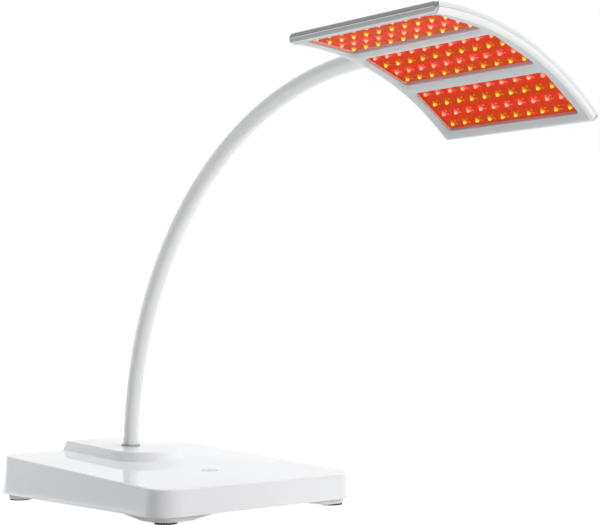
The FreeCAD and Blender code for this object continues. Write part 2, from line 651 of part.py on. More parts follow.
SOCKET_Z = f"({BOARD_TOP} + lead_radius + 0.6)"
base_points = [("0", LEAD_Y, LEAD_TOP), ("0", LEAD_Y, LEAD_Z), ("0", LEAD_TURN_Y, LEAD_Z),
               (f"-{LEAD_X}", LEAD_TURN_Y, LEAD_Z), (f"-{LEAD_X}", LEAD_TURN_Y, SOCKET_Z),
               (f"-{LEAD_X}", SOCKET_REAR, SOCKET_Z)]
node("base_lead", lead_path("base_lead_runs", "lead_radius", base_points, ("-z", "-y", "-x", "-z", "-y")))
INLET_END_Y = f"({WALL_AT_INLET} + (0.1 - inlet_length) * cos(base_draft) - 0.35)"
INLET_LEAD_Z = "(inlet_height + (0.1 - inlet_length) * sin(base_draft))"
inlet_points = [("inlet_across", INLET_END_Y, INLET_LEAD_Z), ("inlet_across", LEAD_TURN_Y, INLET_LEAD_Z),
                (LEAD_X, LEAD_TURN_Y, INLET_LEAD_Z), (LEAD_X, SOCKET_REAR, INLET_LEAD_Z)]
node("inlet_lead", lead_path("inlet_lead_runs", "wire_radius", inlet_points, ("-y", "-x", "-y")))

# Gooseneck arm: a soft sleeve over a wound steel core with the lamp's lead inside.
# It is split into a foot and three lengths that meet in ball ends, where the arm bends.
ARC_Y = "(arm_foot - bend_radius * cos(base_slope))"
ARC_Z = f"({PLATFORM_FOOT} - bend_radius * sin(base_slope))"
AXIS_Z = f"({ARC_Z} + bend_radius)"
RING_TURN = FreeCAD.Rotation(Vector(1, 1, 1), 120)


def ring(name, radius, sweep=None):
    """A tube bent on the arm's radius in the Y-Z plane, from +Y upwards."""
    torus = bind(doc.addObject("Part::Torus", name), Radius1="bend_radius", Radius2=radius)
    if sweep is not None:
        bind(torus, Angle3=sweep)
    torus.Placement = FreeCAD.Placement(Vector(0, 0, 0), RING_TURN)
    return torus


def bent_length(name, radius, sweep, foot=None, tip=None):
    """A bent rod, with straight runs added before its start or after its end."""
    pieces = [ring(name + "_bend", radius, sweep)]
    if foot is not None:
        pieces.append(rod(name + "_foot", radius, foot, ("0", "bend_radius", f"-({foot})")))
    if tip is not None:
        pieces.append(rod(name + "_tip", radius, tip,
                          ("0", f"bend_radius * cos({sweep})", f"bend_radius * sin({sweep})"), X_AXIS, sweep))
    return fuse(name, *pieces) if len(pieces) > 1 else pieces[0]


SLEEVE_IN = "(tube_radius - sleeve_wall)"
COIL_OUT = f"({SLEEVE_IN} - slide_gap)"
COIL_IN = f"({COIL_OUT} - coil_wall)"


def arm_length(part, start, end, foot=None, tip=None, socket=True, ball_end=True):
    """One stiff length of the arm: sleeve, wound core and lead, all on the same bend."""
    sweep = f"(({end}) - ({start}))"
    end_at = ("0", f"bend_radius * cos({sweep})", f"bend_radius * sin({sweep})")
    inner_tip = tip
    if ball_end:
        inner_tip = "tube_radius + 1"
    outside = bent_length(f"sleeve_{part}_out", "tube_radius", sweep, foot, tip)
    if ball_end:
        outside = fuse(f"sleeve_{part}_ball_end", outside, ball(f"sleeve_{part}_ball", "tube_radius", end_at))
    inside = bent_length(f"sleeve_{part}_in", SLEEVE_IN, sweep, foot, inner_tip)
    coil = bent_length(f"core_{part}_out", COIL_OUT, sweep, foot, tip)
    coil_in = bent_length(f"core_{part}_in", COIL_IN, sweep, foot, tip)
    lead = bent_length(f"lead_{part}_rod", "lead_radius", sweep, foot, tip)
    if ball_end:
        lead = fuse(f"lead_{part}_ball_end", lead, ball(f"lead_{part}_ball", "lead_radius", end_at))
    cup = "tube_radius + joint_gap"
    sleeve_tools = [inside]
    core_tools = [coil_in]
    if socket:
        sleeve_tools.append(ball(f"sleeve_{part}_cup", cup, ("0", "bend_radius", "0")))
        core_tools.append(ball(f"core_{part}_cup", cup, ("0", "bend_radius", "0")))
        lead_cup = ball(f"lead_{part}_cup", "lead_radius + joint_gap", ("0", "bend_radius", "0"))
        lead = cut(f"lead_{part}_trimmed", lead, lead_cup)
    sleeve = cut(f"sleeve_{part}", outside, *sleeve_tools)
    core = cut(f"core_{part}", coil, *core_tools)
    for label, thing in ((f"arm_sleeve_{part}", sleeve), (f"gooseneck_core_{part}", core), (f"arm_lead_{part}", lead)):
        place(thing, ("0", ARC_Y, ARC_Z), X_AXIS, start)
        node(label, thing)


arm_length("foot", "base_slope", "lower_bend", foot="foot_depth - slide_gap", socket=False)
arm_length("lower", "lower_bend", "middle_bend")
arm_length("middle", "middle_bend", "upper_bend")
arm_length("upper", "upper_bend", "90", tip="arm_straight", ball_end=False)

# Swivel: a turned ferrule and spindle on the arm's end, in a block on the back of the head.
# These are built about the swivel axis, with y counted from the middle of the head.
HEAD_Y = "(arm_foot - bend_radius * cos(base_slope) - head_reach)"
HEAD_AT = ("0", HEAD_Y, AXIS_Z)
TUBE_END = "(head_reach - arm_straight)"
CUP_REAR = f"({TUBE_END} + ferrule_cup)"
CUP_FRONT = f"({TUBE_END} - ferrule_end)"
BLOCK_REAR = f"({CUP_FRONT} - friction_ring)"
BLOCK_FRONT = f"({BLOCK_REAR} - block_length)"
RING_FRONT = f"({BLOCK_FRONT} - friction_ring)"
NUT_FRONT = f"({RING_FRONT} - nut_height)"
SPINDLE_FRONT = f"({NUT_FRONT} - 2)"


def on_arm(label, thing):
    """Name a piece of the arm's end, which doesn't roll with the head."""
    return node(label, place(thing, HEAD_AT))


ferrule = fuse("ferrule_blank", rod_along("ferrule_cup_rod", "tube_radius + ferrule_wall", CUP_FRONT, CUP_REAR),
               rod_along("spindle_rod", "spindle_radius", SPINDLE_FRONT, CUP_REAR))
on_arm("swivel_spindle", cut("ferrule_bored", ferrule,
                             rod_along("ferrule_bore", "tube_radius + 0.02", TUBE_END, f"{CUP_REAR} + 1"),
                             rod_along("spindle_bore", "lead_radius + 0.4", f"{SPINDLE_FRONT} - 1", f"{CUP_REAR} + 1")))
rings = [cut(f"friction_ring_{k}", rod_along(f"ring_disc_{k}", "nut_radius", f"{low} + 0.05", f"{low} + friction_ring - 0.05"),
             rod_along(f"ring_hole_{k}", "spindle_radius + 0.05", f"{low} - 1", f"{low} + friction_ring + 1"))
         for k, low in enumerate((BLOCK_REAR, RING_FRONT))]
on_arm("friction_rings", group("friction_ring_set", *rings))
nut = doc.addObject("Part::Prism", "nut_prism")
nut.Polygon = 6
bind(nut, Circumradius="nut_radius", Height="nut_height")
place(nut, ("0", NUT_FRONT, "0"), X_AXIS, "-90")
on_arm("swivel_nut", cut("nut_bored", nut, rod_along("nut_hole", "spindle_radius + 0.02", f"{NUT_FRONT} - 1",
                                                     f"{RING_FRONT} + 1")))

# Head: every piece is built level about the swivel axis, then rolled to its place.
# The LED boards are three flats on an arc whose centre lies below, on the lit side.
ARC_LOW = "(-axis_height - arc_radius)"
FACE_R = "(arc_radius - face_drop)"
BACK_R = "(arc_radius + back_rise)"
PART_R = "(arc_radius + part_line)"


def in_head(label, thing):
    """Name a piece of the head and roll it to its place at rest."""
    return node(label, place(thing, HEAD_AT, Y_AXIS, "head_roll"))


def arched(name, inner, outer_r, half, length):
    """A slab bent on the head's arc."""
    whole = bind(doc.addObject("Part::Cylinder", name + "_out"), Radius=outer_r, Height=length, Angle=f"2 * ({half})")
    place(whole, ("0", f"({length}) / 2", "0"), X_AXIS, "90")
    hollow = rod(name + "_in", inner, f"({length}) + 2", ("0", f"({length}) / 2 + 1", "0"), X_AXIS, "90")
    slab = cut(name, whole, hollow)
    return place(slab, ("0", "0", ARC_LOW), Y_AXIS, f"({half}) - 90")


def on_facet(name, angle, radius, across="0", along="0"):
    """The place of a point on a flat at an angle of the head's arc."""
    return (f"({radius}) * sin({angle}) + ({across}) * cos({angle})", along,
            f"{ARC_LOW} + ({radius}) * cos({angle}) - ({across}) * sin({angle})")


def facet_plate(name, angle, low, height, width, length):
    """A flat plate on one of the head's three flats."""
    plate = bind(doc.addObject("Part::Box", name), Length=width, Width=length, Height=height)
    x, y, z = on_facet(name, angle, low, f"-({width}) / 2", f"-({length}) / 2")
    return place(plate, (x, y, z), Y_AXIS, angle)


def radial_rod(name, angle, low, high, radius, along, across="0"):
    """A cylinder square to the head's arc at an angle."""
    x, y, z = on_facet(name, angle, low, across, along)
    return rod(name, radius, f"({high}) - ({low})", (x, y, z), Y_AXIS, angle)


FACETS = {"left": "-board_step", "centre": "0", "right": "board_step"}
HALF_INNER = "(half_angle - side_wall / arc_radius * 180 / pi)"
END_POSTS = [(a, f"{s} * (head_length / 2 - side_wall - 3.4)") for a in FACETS.values() for s in (-1, 1)]
GAP_POSTS = [(f"{s} * board_step / 2", "0") for s in (-1, 1)]
HEAD_SCREWS = END_POSTS + GAP_POSTS

# Rear shell: the gloss white back, with a seat for the swivel block
rear_slab = arched("rear_slab", PART_R, BACK_R, "half_angle", "head_length")
rear_round = round_edges("rear_round", rear_slab, "back_edge", lambda e: abs(
    math.hypot(e.CenterOfMass.x, e.CenterOfMass.z - size(ARC_LOW)) - size(BACK_R)) < size("back_rise") and all(
    abs(math.hypot(v.X, v.Z - size(ARC_LOW)) - size(BACK_R)) < 0.01 for v in e.Vertexes))
rear_hollow = arched("rear_hollow", f"{PART_R} - 1", f"{BACK_R} - shell_wall", HALF_INNER, "head_length - 2 * side_wall")
seat_pad = block("seat_pad", "block_radius * 2 + 3", "block_length - 1", "3.4",
                 ("0", f"({BLOCK_REAR} + {BLOCK_FRONT}) / 2", f"-axis_height + back_rise - shell_wall - 0.2"))
board_pads = [radial_rod(f"board_pad_{n}_{k}", a, "arc_radius - led_board_drop + led_board_height",
                         f"{BACK_R} - shell_wall / 2", "4", y)
              for n, a in FACETS.items() for k, y in enumerate(("-50", "50"))]
shell_holes = [radial_rod(f"shell_hole_{k}", a, PART_R, f"{BACK_R} + 1", "1.4", y)
               for k, (a, y) in enumerate(HEAD_SCREWS)]
shell_sinks = [radial_rod(f"shell_sink_{k}", a, f"{BACK_R} - 1.1", f"{BACK_R} + 1", "2.6", y)
               for k, (a, y) in enumerate(HEAD_SCREWS)]
BLOCK_SCREWS = [(f"{sx} * (block_radius - 3.6)", f"({BLOCK_REAR} + {BLOCK_FRONT}) / 2 + {sy} * (block_length / 2 - 5)")
                for sx in (-1, 1) for sy in (-1, 1)]
SEAT_Z = "(-axis_height + back_rise + 1.3)"
lead_hole = rod("shell_lead_hole", "3", "12", ("0", f"{SPINDLE_FRONT} - 5", "-axis_height + back_rise - 6"))
pad_holes = [rod(f"pad_hole_{k}", "1.4", "8", (x, y, "-axis_height + back_rise - 4"))
             for k, (x, y) in enumerate(BLOCK_SCREWS)]
rear_blank = fuse("rear_blank", cut("rear_open", rear_round, rear_hollow), seat_pad, *board_pads)
in_head("head_rear_shell", cut("rear_drilled", rear_blank, lead_hole, *pad_holes, *shell_holes, *shell_sinks))

# Lead from the arm through the spindle and down into the head
LEAD_DROP_Y = f"({SPINDLE_FRONT} - 5)"
HEAD_LEAD = "(lead_radius - 0.6)"
BOARD_BACK = "(led_board_height - led_board_drop - axis_height)"
in_head("head_lead", fuse("head_lead_runs",
                          rod_along("head_lead_run", HEAD_LEAD, LEAD_DROP_Y, f"{TUBE_END} - slide_gap"),
                          ball("head_lead_bend", HEAD_LEAD, ("0", LEAD_DROP_Y, "0")),
                          rod("head_lead_drop", HEAD_LEAD, f"-{BOARD_BACK}", ("0", LEAD_DROP_Y, BOARD_BACK))))

# Front frame: the pale inner frame round three shallow windows, each with a flat bezel
front_slab = arched("front_slab", FACE_R, PART_R, "half_angle", "head_length")
front_round = round_edges("front_round", front_slab, "face_edge", lambda e: all(
    abs(math.hypot(v.X, v.Z - size(ARC_LOW)) - size(FACE_R)) < 0.01 for v in e.Vertexes) and abs(
    abs(e.CenterOfMass.y) - size("head_length") / 2) < 0.01)
front_hollow = arched("front_hollow", f"{FACE_R} + skin", f"{PART_R} + 1", HALF_INNER, "head_length - 2 * side_wall")
LENS_LOW = "(arc_radius - lens_drop)"
rim_plates = [facet_plate(f"rim_{n}", a, f"{FACE_R} - 2.5", f"{LENS_LOW} - {FACE_R} + 2.5",
                          "window_width + 2 * rim_margin", "window_length + 2 * rim_margin")
              for n, a in FACETS.items()]
rims = common("rims_in_face", fuse("rim_plates", *rim_plates), arched("rim_slab", FACE_R, PART_R, HALF_INNER, "head_length"))
bezels = [facet_plate(f"bezel_{n}", a, f"{FACE_R} - 6", f"{LENS_LOW} - bezel_lip - {FACE_R} + 6",
                      "window_width + 2 * bezel_margin", "window_length + 2 * bezel_margin")
          for n, a in FACETS.items()]
posts = [radial_rod(f"post_{k}", a, f"{FACE_R} + skin / 2", f"{BACK_R} - shell_wall", "2.8", y)
         for k, (a, y) in enumerate(HEAD_SCREWS)]
windows = []
for n, a in FACETS.items():
    opening = facet_plate(f"window_{n}_box", a, f"{FACE_R} - 6", "14", "window_width", "window_length")
    doc.recompute()
    rounded = doc.addObject("Part::Fillet", f"window_{n}")
    rounded.Base = opening
    rounded.Edges = [(k, size("window_corner"), size("window_corner")) for k in (1, 3, 5, 7)]
    windows.append(rounded)
post_bores = [radial_rod(f"post_bore_{k}", a, f"{FACE_R} + skin + 0.6", f"{BACK_R}", "1.0", y)
              for k, (a, y) in enumerate(HEAD_SCREWS)]
front_blank = fuse("front_blank", cut("front_open", front_round, front_hollow), rims, *posts)
in_head("head_front_frame", cut("front_windows", front_blank, *windows, *bezels, *post_bores))

# Eight small screws from the back
head_screws = [place(fuse(f"head_screw_{k}",
                          rod(f"head_screw_shank_{k}", "0.95", "6.4", ("0", "0", "-6.4")),
                          rod(f"head_screw_cap_{k}", "2.4", "0.9", ("0", "0", "0"))),
                     on_facet("", a, f"{BACK_R} - 1.1", "0", y), Y_AXIS, a)
               for k, (a, y) in enumerate(HEAD_SCREWS)]
in_head("head_screws", group("head_screw_set", *head_screws))

# End trims: satin silver strips along the two long ends, with round corners and a groove
TRIM_HEIGHT = f"({BACK_R} - {FACE_R} - 0.8)"


def trim_bar(name, side, low, high, width, length, out="0"):
    """A bar on one end wall of the head, between two heights above the face."""
    bar = bind(doc.addObject("Part::Box", name), Length=width, Width=length, Height=f"({high}) - ({low})")
    shift = f"({out})" if side > 0 else f"-({width}) - ({out})"
    x, y, z = on_facet("", f"{side} * half_angle", f"{FACE_R} + 0.4 + ({low})", shift, f"-({length}) / 2")
    return place(bar, (x, y, z), Y_AXIS, f"{side} * half_angle")


for side, s in (("left", -1), ("right", 1)):
    strip = trim_bar(f"trim_{side}_bar", s, "0", TRIM_HEIGHT, "trim_width", "head_length - 1")
    doc.recompute()
    home = strip.Placement.inverse()
    face_edges = round_edges(f"trim_{side}_face_corners", strip, "trim_corner", lambda e: abs(
        home.multVec(e.CenterOfMass).x - size("trim_width") / 2) < 0.01 and home.multVec(e.CenterOfMass).z < 1)
    back_edges = round_edges(f"trim_{side}_back_corners", face_edges, "trim_corner", lambda e: abs(
        home.multVec(e.CenterOfMass).x - size("trim_width") / 2) < 0.01
        and home.multVec(e.CenterOfMass).z > size(TRIM_HEIGHT) - 0.01 and e.Length < size("trim_width") * 1.01)
    far_x = size("trim_width") if s > 0 else 0.0
    rounded = round_edges(f"trim_{side}_round", back_edges, "trim_width * 0.45", lambda e: all(abs(
        home.multVec(e.valueAt(t)).x - far_x) < 0.01 for t in (e.FirstParameter, e.LastParameter)))
    groove = trim_bar(f"trim_{side}_groove", s, f"{TRIM_HEIGHT} * 0.5", f"{TRIM_HEIGHT} * 0.5 + trim_groove",
                      "trim_width", "head_length + 2", "trim_width - trim_groove")
    in_head(f"end_trim_{side}", cut(f"trim_{side}_whole", rounded, groove))

# Lenses, boards and LEDs on each flat
for n, a in FACETS.items():
    in_head(f"window_lens_{n}", group(f"lens_{n}", facet_plate(
        f"lens_{n}_plate", a, LENS_LOW, "lens_height", "window_width + 2 * rim_margin - 2",
        "window_length + 2 * rim_margin - 2")))
    in_head(f"led_board_{n}", group(f"board_{n}", facet_plate(
        f"board_{n}_plate", a, "arc_radius - led_board_drop", "led_board_height", "led_board_width",
        "led_board_length")))


def led_set(label, rows):
    """Small LEDs in the given rows of all three boards, each a separate eight-sided solid."""
    solids = []
    count = 10
    for a in FACETS.values():
        turn = FreeCAD.Rotation(Y_AXIS, size(a))
        for r in rows:
            across = (r - 1.5) * size("row_pitch")
            for c in range(count):
                along = (c - (count - 1) / 2) * size("led_pitch")
                radius = size("led_radius")
                corners = [Vector(across + radius * math.cos(math.radians(22.5 + 45 * k)),
                                  along + radius * math.sin(math.radians(22.5 + 45 * k)), 0) for k in range(9)]
                face = Part.Face(Part.makePolygon(corners))
                solid = face.extrude(Vector(0, 0, size("led_height")))
                low = size("arc_radius - led_board_drop - led_height")
                solid.Placement = FreeCAD.Placement(turn.multVec(Vector(0, 0, low)) + Vector(0, 0, size(ARC_LOW)), turn)
                solids.append(solid)
    cluster = doc.addObject("Part::Feature", label + "_set")
    cluster.Shape = Part.makeCompound(solids)
    return in_head(label, cluster)


led_set("red_leds", (0, 2))
led_set("amber_leds", (1, 3))

# Swivel block, its screws and the hood that covers it
block_blank = fuse("block_blank", rod_along("block_round", "block_radius", BLOCK_FRONT, BLOCK_REAR),
                   block("block_foot", "block_radius * 2", "block_length", f"-{SEAT_Z}",
                         ("0", f"({BLOCK_REAR} + {BLOCK_FRONT}) / 2", SEAT_Z)))
block_bore = rod_along("block_bore", "spindle_radius + spindle_clear", f"{BLOCK_FRONT} - 1", f"{BLOCK_REAR} + 1")
under_seat = block("under_seat", "block_radius * 4", "block_length + 2", "block_radius * 2",
                   ("0", f"({BLOCK_REAR} + {BLOCK_FRONT}) / 2", f"{SEAT_Z} - block_radius * 2"))
block_taps = [rod(f"block_tap_{k}", "1.0", "5", (x, y, SEAT_Z)) for k, (x, y) in enumerate(BLOCK_SCREWS)]
in_head("swivel_block", cut("block_bored", block_blank, block_bore, under_seat, *block_taps))
in_head("block_screws", group("block_screw_set", *[
    fuse(f"block_screw_{k}", rod(f"block_screw_shank_{k}", "0.95", "6.5", (x, y, "-axis_height + back_rise - shell_wall - 0.2")),
         rod(f"block_screw_cap_{k}", "2.2", "0.9", (x, y, "-axis_height + back_rise - shell_wall - 1.1")))
    for k, (x, y) in enumerate(BLOCK_SCREWS)]))
HOOD_REAR = f"({CUP_FRONT} + 3)"
HOOD_FRONT = f"({SPINDLE_FRONT} - 12)"


def hood_form(name, radius, front, rear):
    """A long dome: a half round on straight sides that go down to the shell."""
    top = rod_along(name + "_top", radius, front, rear)
    sides = block(name + "_sides", f"2 * ({radius})", f"({rear}) - ({front})", "axis_height",
                  ("0", f"(({rear}) + ({front})) / 2", "-axis_height"))
    return fuse(name, top, sides)


hood_out = hood_form("hood_out", "hood_radius", HOOD_FRONT, HOOD_REAR)
hood_round = round_edges("hood_round", hood_out, "5", lambda e: abs(e.CenterOfMass.y - size(HOOD_FRONT)) < 0.01
                         and e.CenterOfMass.z > size("-axis_height") + 1)
hood_in = hood_form("hood_in", "hood_radius - hood_wall", f"{HOOD_FRONT} + 4", f"{HOOD_REAR} - hood_wall")
hood_seat = rod_along("hood_seat", BACK_R, f"{HOOD_FRONT} - 5", f"{HOOD_REAR} + 5", "0", ARC_LOW)
hood_way = rod_along("hood_way", "tube_radius + ferrule_wall + 0.4", f"{HOOD_REAR} - 5", f"{HOOD_REAR} + 5")
in_head("swivel_hood", cut("hood_whole", hood_round, hood_in, hood_seat, hood_way))

# Check every object, then write the sub-parts
doc.recompute()
for thing in doc.Objects:
    if "Invalid" in thing.State or "Error" in thing.State:
        raise RuntimeError(f"{thing.Name} is {thing.State}")
triangles = 0
for label, thing in NODES.items():
    shape = thing.Shape
    if shape.isNull() or not shape.isValid() or not shape.Solids:
        raise RuntimeError(f"{label} has no valid solid")
    count = len(shape.tessellate(0.2)[1])
    triangles += count
    box = shape.BoundBox
    print(f"{label:24s} solids {len(shape.Solids):3d} volume {shape.Volume / 1000:9.2f} cm3 triangles {count:5d} "
          f"x {box.XMin:.1f} {box.XMax:.1f} y {box.YMin:.1f} {box.YMax:.1f} z {box.ZMin:.1f} {box.ZMax:.1f}")
    shape.exportStep(f"parts/{label}.step")
print("nodes", len(NODES), "triangles", triangles)
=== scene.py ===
import itertools
import math

import bmesh
import bpy
from mathutils import Matrix, Vector


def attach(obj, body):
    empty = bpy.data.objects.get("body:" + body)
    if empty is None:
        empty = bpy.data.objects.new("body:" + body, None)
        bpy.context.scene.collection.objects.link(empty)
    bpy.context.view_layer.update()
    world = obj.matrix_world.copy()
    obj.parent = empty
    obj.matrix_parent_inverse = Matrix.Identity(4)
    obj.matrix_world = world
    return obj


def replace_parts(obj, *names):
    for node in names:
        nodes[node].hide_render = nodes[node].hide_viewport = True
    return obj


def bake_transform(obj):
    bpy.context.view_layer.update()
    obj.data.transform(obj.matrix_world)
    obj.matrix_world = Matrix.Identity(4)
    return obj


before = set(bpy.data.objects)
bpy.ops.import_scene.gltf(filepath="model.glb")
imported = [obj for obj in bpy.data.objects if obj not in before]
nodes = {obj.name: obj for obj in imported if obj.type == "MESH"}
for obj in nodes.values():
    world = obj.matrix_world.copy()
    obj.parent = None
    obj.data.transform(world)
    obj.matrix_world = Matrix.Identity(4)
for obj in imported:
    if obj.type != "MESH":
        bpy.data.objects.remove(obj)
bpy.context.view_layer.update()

# Camera: a long lens, low in front of the lamp and to the left of the base's front corner. It looks
# slightly up, past the base to the underside of the head.
CAMERA_AZIMUTH = -40.146
CAMERA_PITCH = 1.938
CAMERA_ROLL = 0.640
CAMERA_PLACE = (-0.983285, -1.386946, 0.203304)
CAMERA_LENS = 92.4
camera_data = bpy.data.cameras.new("camera")
camera_data.lens = CAMERA_LENS
camera_data.sensor_width = 36.0
camera_data.clip_start = 0.05
camera_data.clip_end = 60.0
camera = bpy.data.objects.new("camera", camera_data)
bpy.context.scene.collection.objects.link(camera)
camera.matrix_world = (
    Matrix.Translation(CAMERA_PLACE)
    @ Matrix.Rotation(math.radians(CAMERA_AZIMUTH), 4, "Z")
    @ Matrix.Rotation(math.radians(90.0 + CAMERA_PITCH), 4, "X")
    @ Matrix.Rotation(math.radians(-CAMERA_ROLL), 4, "Z")
)
bpy.context.scene.camera = camera
bpy.context.scene.view_settings.view_transform = "Standard"


def colour(code):
    """An sRGB hex colour as the linear values that shaders take."""
    parts = [int(code[i : i + 2], 16) / 255.0 for i in (1, 3, 5)]
    linear = [c / 12.92 if c <= 0.04045 else ((c + 0.055) / 1.055) ** 2.4 for c in parts]
    return (*linear, 1.0)


def add_node(tree, kind, links=None, **settings):
    """A node with its settings, and the sockets or values that feed it."""
    made = tree.nodes.new(kind)
    for key, value in settings.items():
        setattr(made, key, value)
    for socket, source in (links or {}).items():
        if isinstance(source, bpy.types.NodeSocket):
            tree.links.new(source, made.inputs[socket])
        else:
            made.inputs[socket].default_value = source
    return made


def new_material(name):
    """An empty material, its node tree and its output. A finish that glows isn't sampled as a lamp,
    because that leaves the sleeve speckled."""
    material = bpy.data.materials.new(name)
    material.cycles.emission_sampling = "NONE"
    material.use_nodes = True
    material.node_tree.nodes.clear()
    output = material.node_tree.nodes.new("ShaderNodeOutputMaterial")
    return material, material.node_tree, output


# Studio: seamless white paper under the lamp. It shows as white in the picture and keeps a faint
# shadow where the base stands.
PAPER_REACH = 9.0
PAPER_GLOW = 0.94


def seen_directly(tree):
    """1 where the camera, a reflection or a clear sheet looks, and 0 for light that falls on things."""
    rays = add_node(tree, "ShaderNodeLightPath")
    seen = add_node(tree, "ShaderNodeMath", {
        0: rays.outputs["Is Camera Ray"], 1: rays.outputs["Is Glossy Ray"]}, operation="MAXIMUM")
    seen = add_node(tree, "ShaderNodeMath", {
        0: seen.outputs[0], 1: rays.outputs["Is Transmission Ray"]}, operation="MAXIMUM")
    return seen.outputs[0]


paper_mesh = bpy.data.meshes.new("paper_sweep")
bm = bmesh.new()
bmesh.ops.create_grid(bm, x_segments=1, y_segments=1, size=PAPER_REACH)
bm.to_mesh(paper_mesh)
bm.free()
paper_sweep = bpy.data.objects.new("paper_sweep", paper_mesh)
bpy.context.scene.collection.objects.link(paper_sweep)
paper_finish, tree, output = new_material("white_seamless_paper")
matt = add_node(tree, "ShaderNodeBsdfDiffuse", {"Color": colour("#F2F2F2")})
glow = add_node(tree, "ShaderNodeEmission", {"Color": colour("#FFFFFF"), "Strength": PAPER_GLOW})
lit_paper = add_node(tree, "ShaderNodeAddShader", {0: matt.outputs[0], 1: glow.outputs[0]})
mixed = add_node(tree, "ShaderNodeMixShader", {
    0: seen_directly(tree), 1: matt.outputs[0], 2: lit_paper.outputs[0]})
tree.links.new(mixed.outputs[0], output.inputs["Surface"])
paper_mesh.materials.append(paper_finish)

# Studio: the white room round it, which lights the lamp evenly and less than it shows
ROOM_LIGHT = 0.07
world = bpy.data.worlds.new("white_room")
world.use_nodes = True
bpy.context.scene.world = world
tree = world.node_tree
tree.nodes.clear()
output = tree.nodes.new("ShaderNodeOutputWorld")
shown = add_node(tree, "ShaderNodeBackground", {"Color": colour("#FFFFFF"), "Strength": 1.0})
ambient = add_node(tree, "ShaderNodeBackground", {"Color": colour("#F1F7F9"), "Strength": ROOM_LIGHT})
mixed = add_node(tree, "ShaderNodeMixShader", {
    0: seen_directly(tree), 1: ambient.outputs[0], 2: shown.outputs[0]})
tree.links.new(mixed.outputs[0], output.inputs["Surface"])

# Studio: four square soft lights, of the given side in metres and power in watts: a large one
# overhead, one in front, a cooler one behind on the left and a weak fill on the right. None of them
# shows in a reflection, because the room already does.
LIGHTS = (
    # name, place, what it is aimed at, side, power, tint
    ("overhead_light", (1.0, -0.9, 5.2), (0.0, -0.1, 0.0), 3.6, 202.0, "#FFFFFF"),
    ("front_light", (0.9, -2.4, 0.9), (0.0, -0.1, 0.15), 1.0, 27.5, "#FFFFFF"),
    ("left_light", (-0.85, 1.75, 0.6), (-0.1, 0.1, 0.1), 0.6, 20.5, "#F1F7FA"),
    ("right_fill", (0.5, 0.0, 0.7), (0.12, -0.05, 0.03), 0.4, 0.5, "#FFFFFF"),
)
for name, place, target, side, power, tint in LIGHTS:
    softbox = bpy.data.lights.new(name, "AREA")
    softbox.shape = "SQUARE"
    softbox.size = side
    softbox.energy = power
    softbox.color = colour(tint)[:3]
    light = bpy.data.objects.new(name, softbox)
    bpy.context.scene.collection.objects.link(light)
    aim = Vector(target) - Vector(place)
    light.matrix_world = Matrix.Translation(place) @ aim.to_track_quat("-Z", "Y").to_matrix().to_4x4()
    light.visible_glossy = False


# Bottom tray: white ABS from a spark-eroded tool, satin, so that it shows as a soft even white
DRIFT_MM = 70.0
WEAR = 0.15


def dress(names, material):
    """Give CAD pieces their finish."""
    for name in names:
        slots = nodes[name].data.materials
        slots.clear()
        slots.append(material)


def moulded(name, code, shade, roughness, grain_mm, depth_mm, ior=1.5, sheen=0.0):
    """A moulded finish: colour that drifts slightly, and a surface grain of the given width and depth.
    The polish varies a little with the colour, as it does where the tool is worn."""
    material, tree, output = new_material(name)
    place = add_node(tree, "ShaderNodeTexCoord")
    drift = add_node(tree, "ShaderNodeTexNoise", {
        "Vector": place.outputs["Object"], "Scale": 1000.0 / DRIFT_MM, "Detail": 2.0})
    tone = add_node(tree, "ShaderNodeMix", {0: drift.outputs["Fac"], 6: colour(code), 7: colour(shade)},
                    data_type="RGBA")
    grain = add_node(tree, "ShaderNodeTexNoise", {
        "Vector": place.outputs["Object"], "Scale": 1000.0 / grain_mm, "Detail": 2.0})
    relief = add_node(tree, "ShaderNodeBump", {
        "Height": grain.outputs["Fac"], "Strength": 1.0, "Distance": depth_mm / 1000.0})
    wear = add_node(tree, "ShaderNodeMapRange", {
        "Value": drift.outputs["Fac"], "To Min": roughness * (1 - WEAR), "To Max": roughness * (1 + WEAR)})
    shader = add_node(tree, "ShaderNodeBsdfPrincipled", {
        "Base Color": tone.outputs[2], "Roughness": wear.outputs[0], "IOR": ior,
        "Normal": relief.outputs[0], "Sheen Weight": sheen})
    tree.links.new(shader.outputs[0], output.inputs["Surface"])
    return material


dress(["base_bottom_tray"], moulded("satin_white_abs", "#E9EAEB", "#E3E5E7", 0.42, 0.9, 0.01))

# Feet: four moulded rubber pads, dull and brownish black. Each has a flange in the tray's recess
# and a narrower pad with a rounded rim that stands on the table.
FOOT_BESIDE = 0.108
FOOT_ALONG = 0.141
FOOT_PLACES = [(FOOT_BESIDE * x, FOOT_ALONG * y) for x in (-1, 1) for y in (-1, 1)]
FLANGE_RADIUS = 0.0119
PAD_RADIUS = 0.0116
PAD_TOP = 0.0024
FLANGE_TOP = 0.0034
PAD_RIM = 0.0006
moulded_rubber = moulded("moulded_rubber", "#5A514D", "#4A423F", 0.75, 0.7, 0.03, ior=1.45)


def new_piece(name, bm, material, body=None):
    """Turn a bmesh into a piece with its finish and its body."""
    mesh = bpy.data.meshes.new(name)
    bm.to_mesh(mesh)
    bm.free()
    piece = bpy.data.objects.new(name, mesh)
    bpy.context.scene.collection.objects.link(piece)
    mesh.materials.append(material)
    if body:
        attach(piece, body)
    return piece


def disc(bm, place, radius, low, high, sides=48):
    """A short upright cylinder with closed ends."""
    made = bmesh.ops.create_cone(bm, cap_ends=True, segments=sides, radius1=radius, radius2=radius,
                                 depth=high - low)["verts"]
    bmesh.ops.translate(bm, verts=made, vec=(place[0], place[1], (low + high) / 2))
    return made


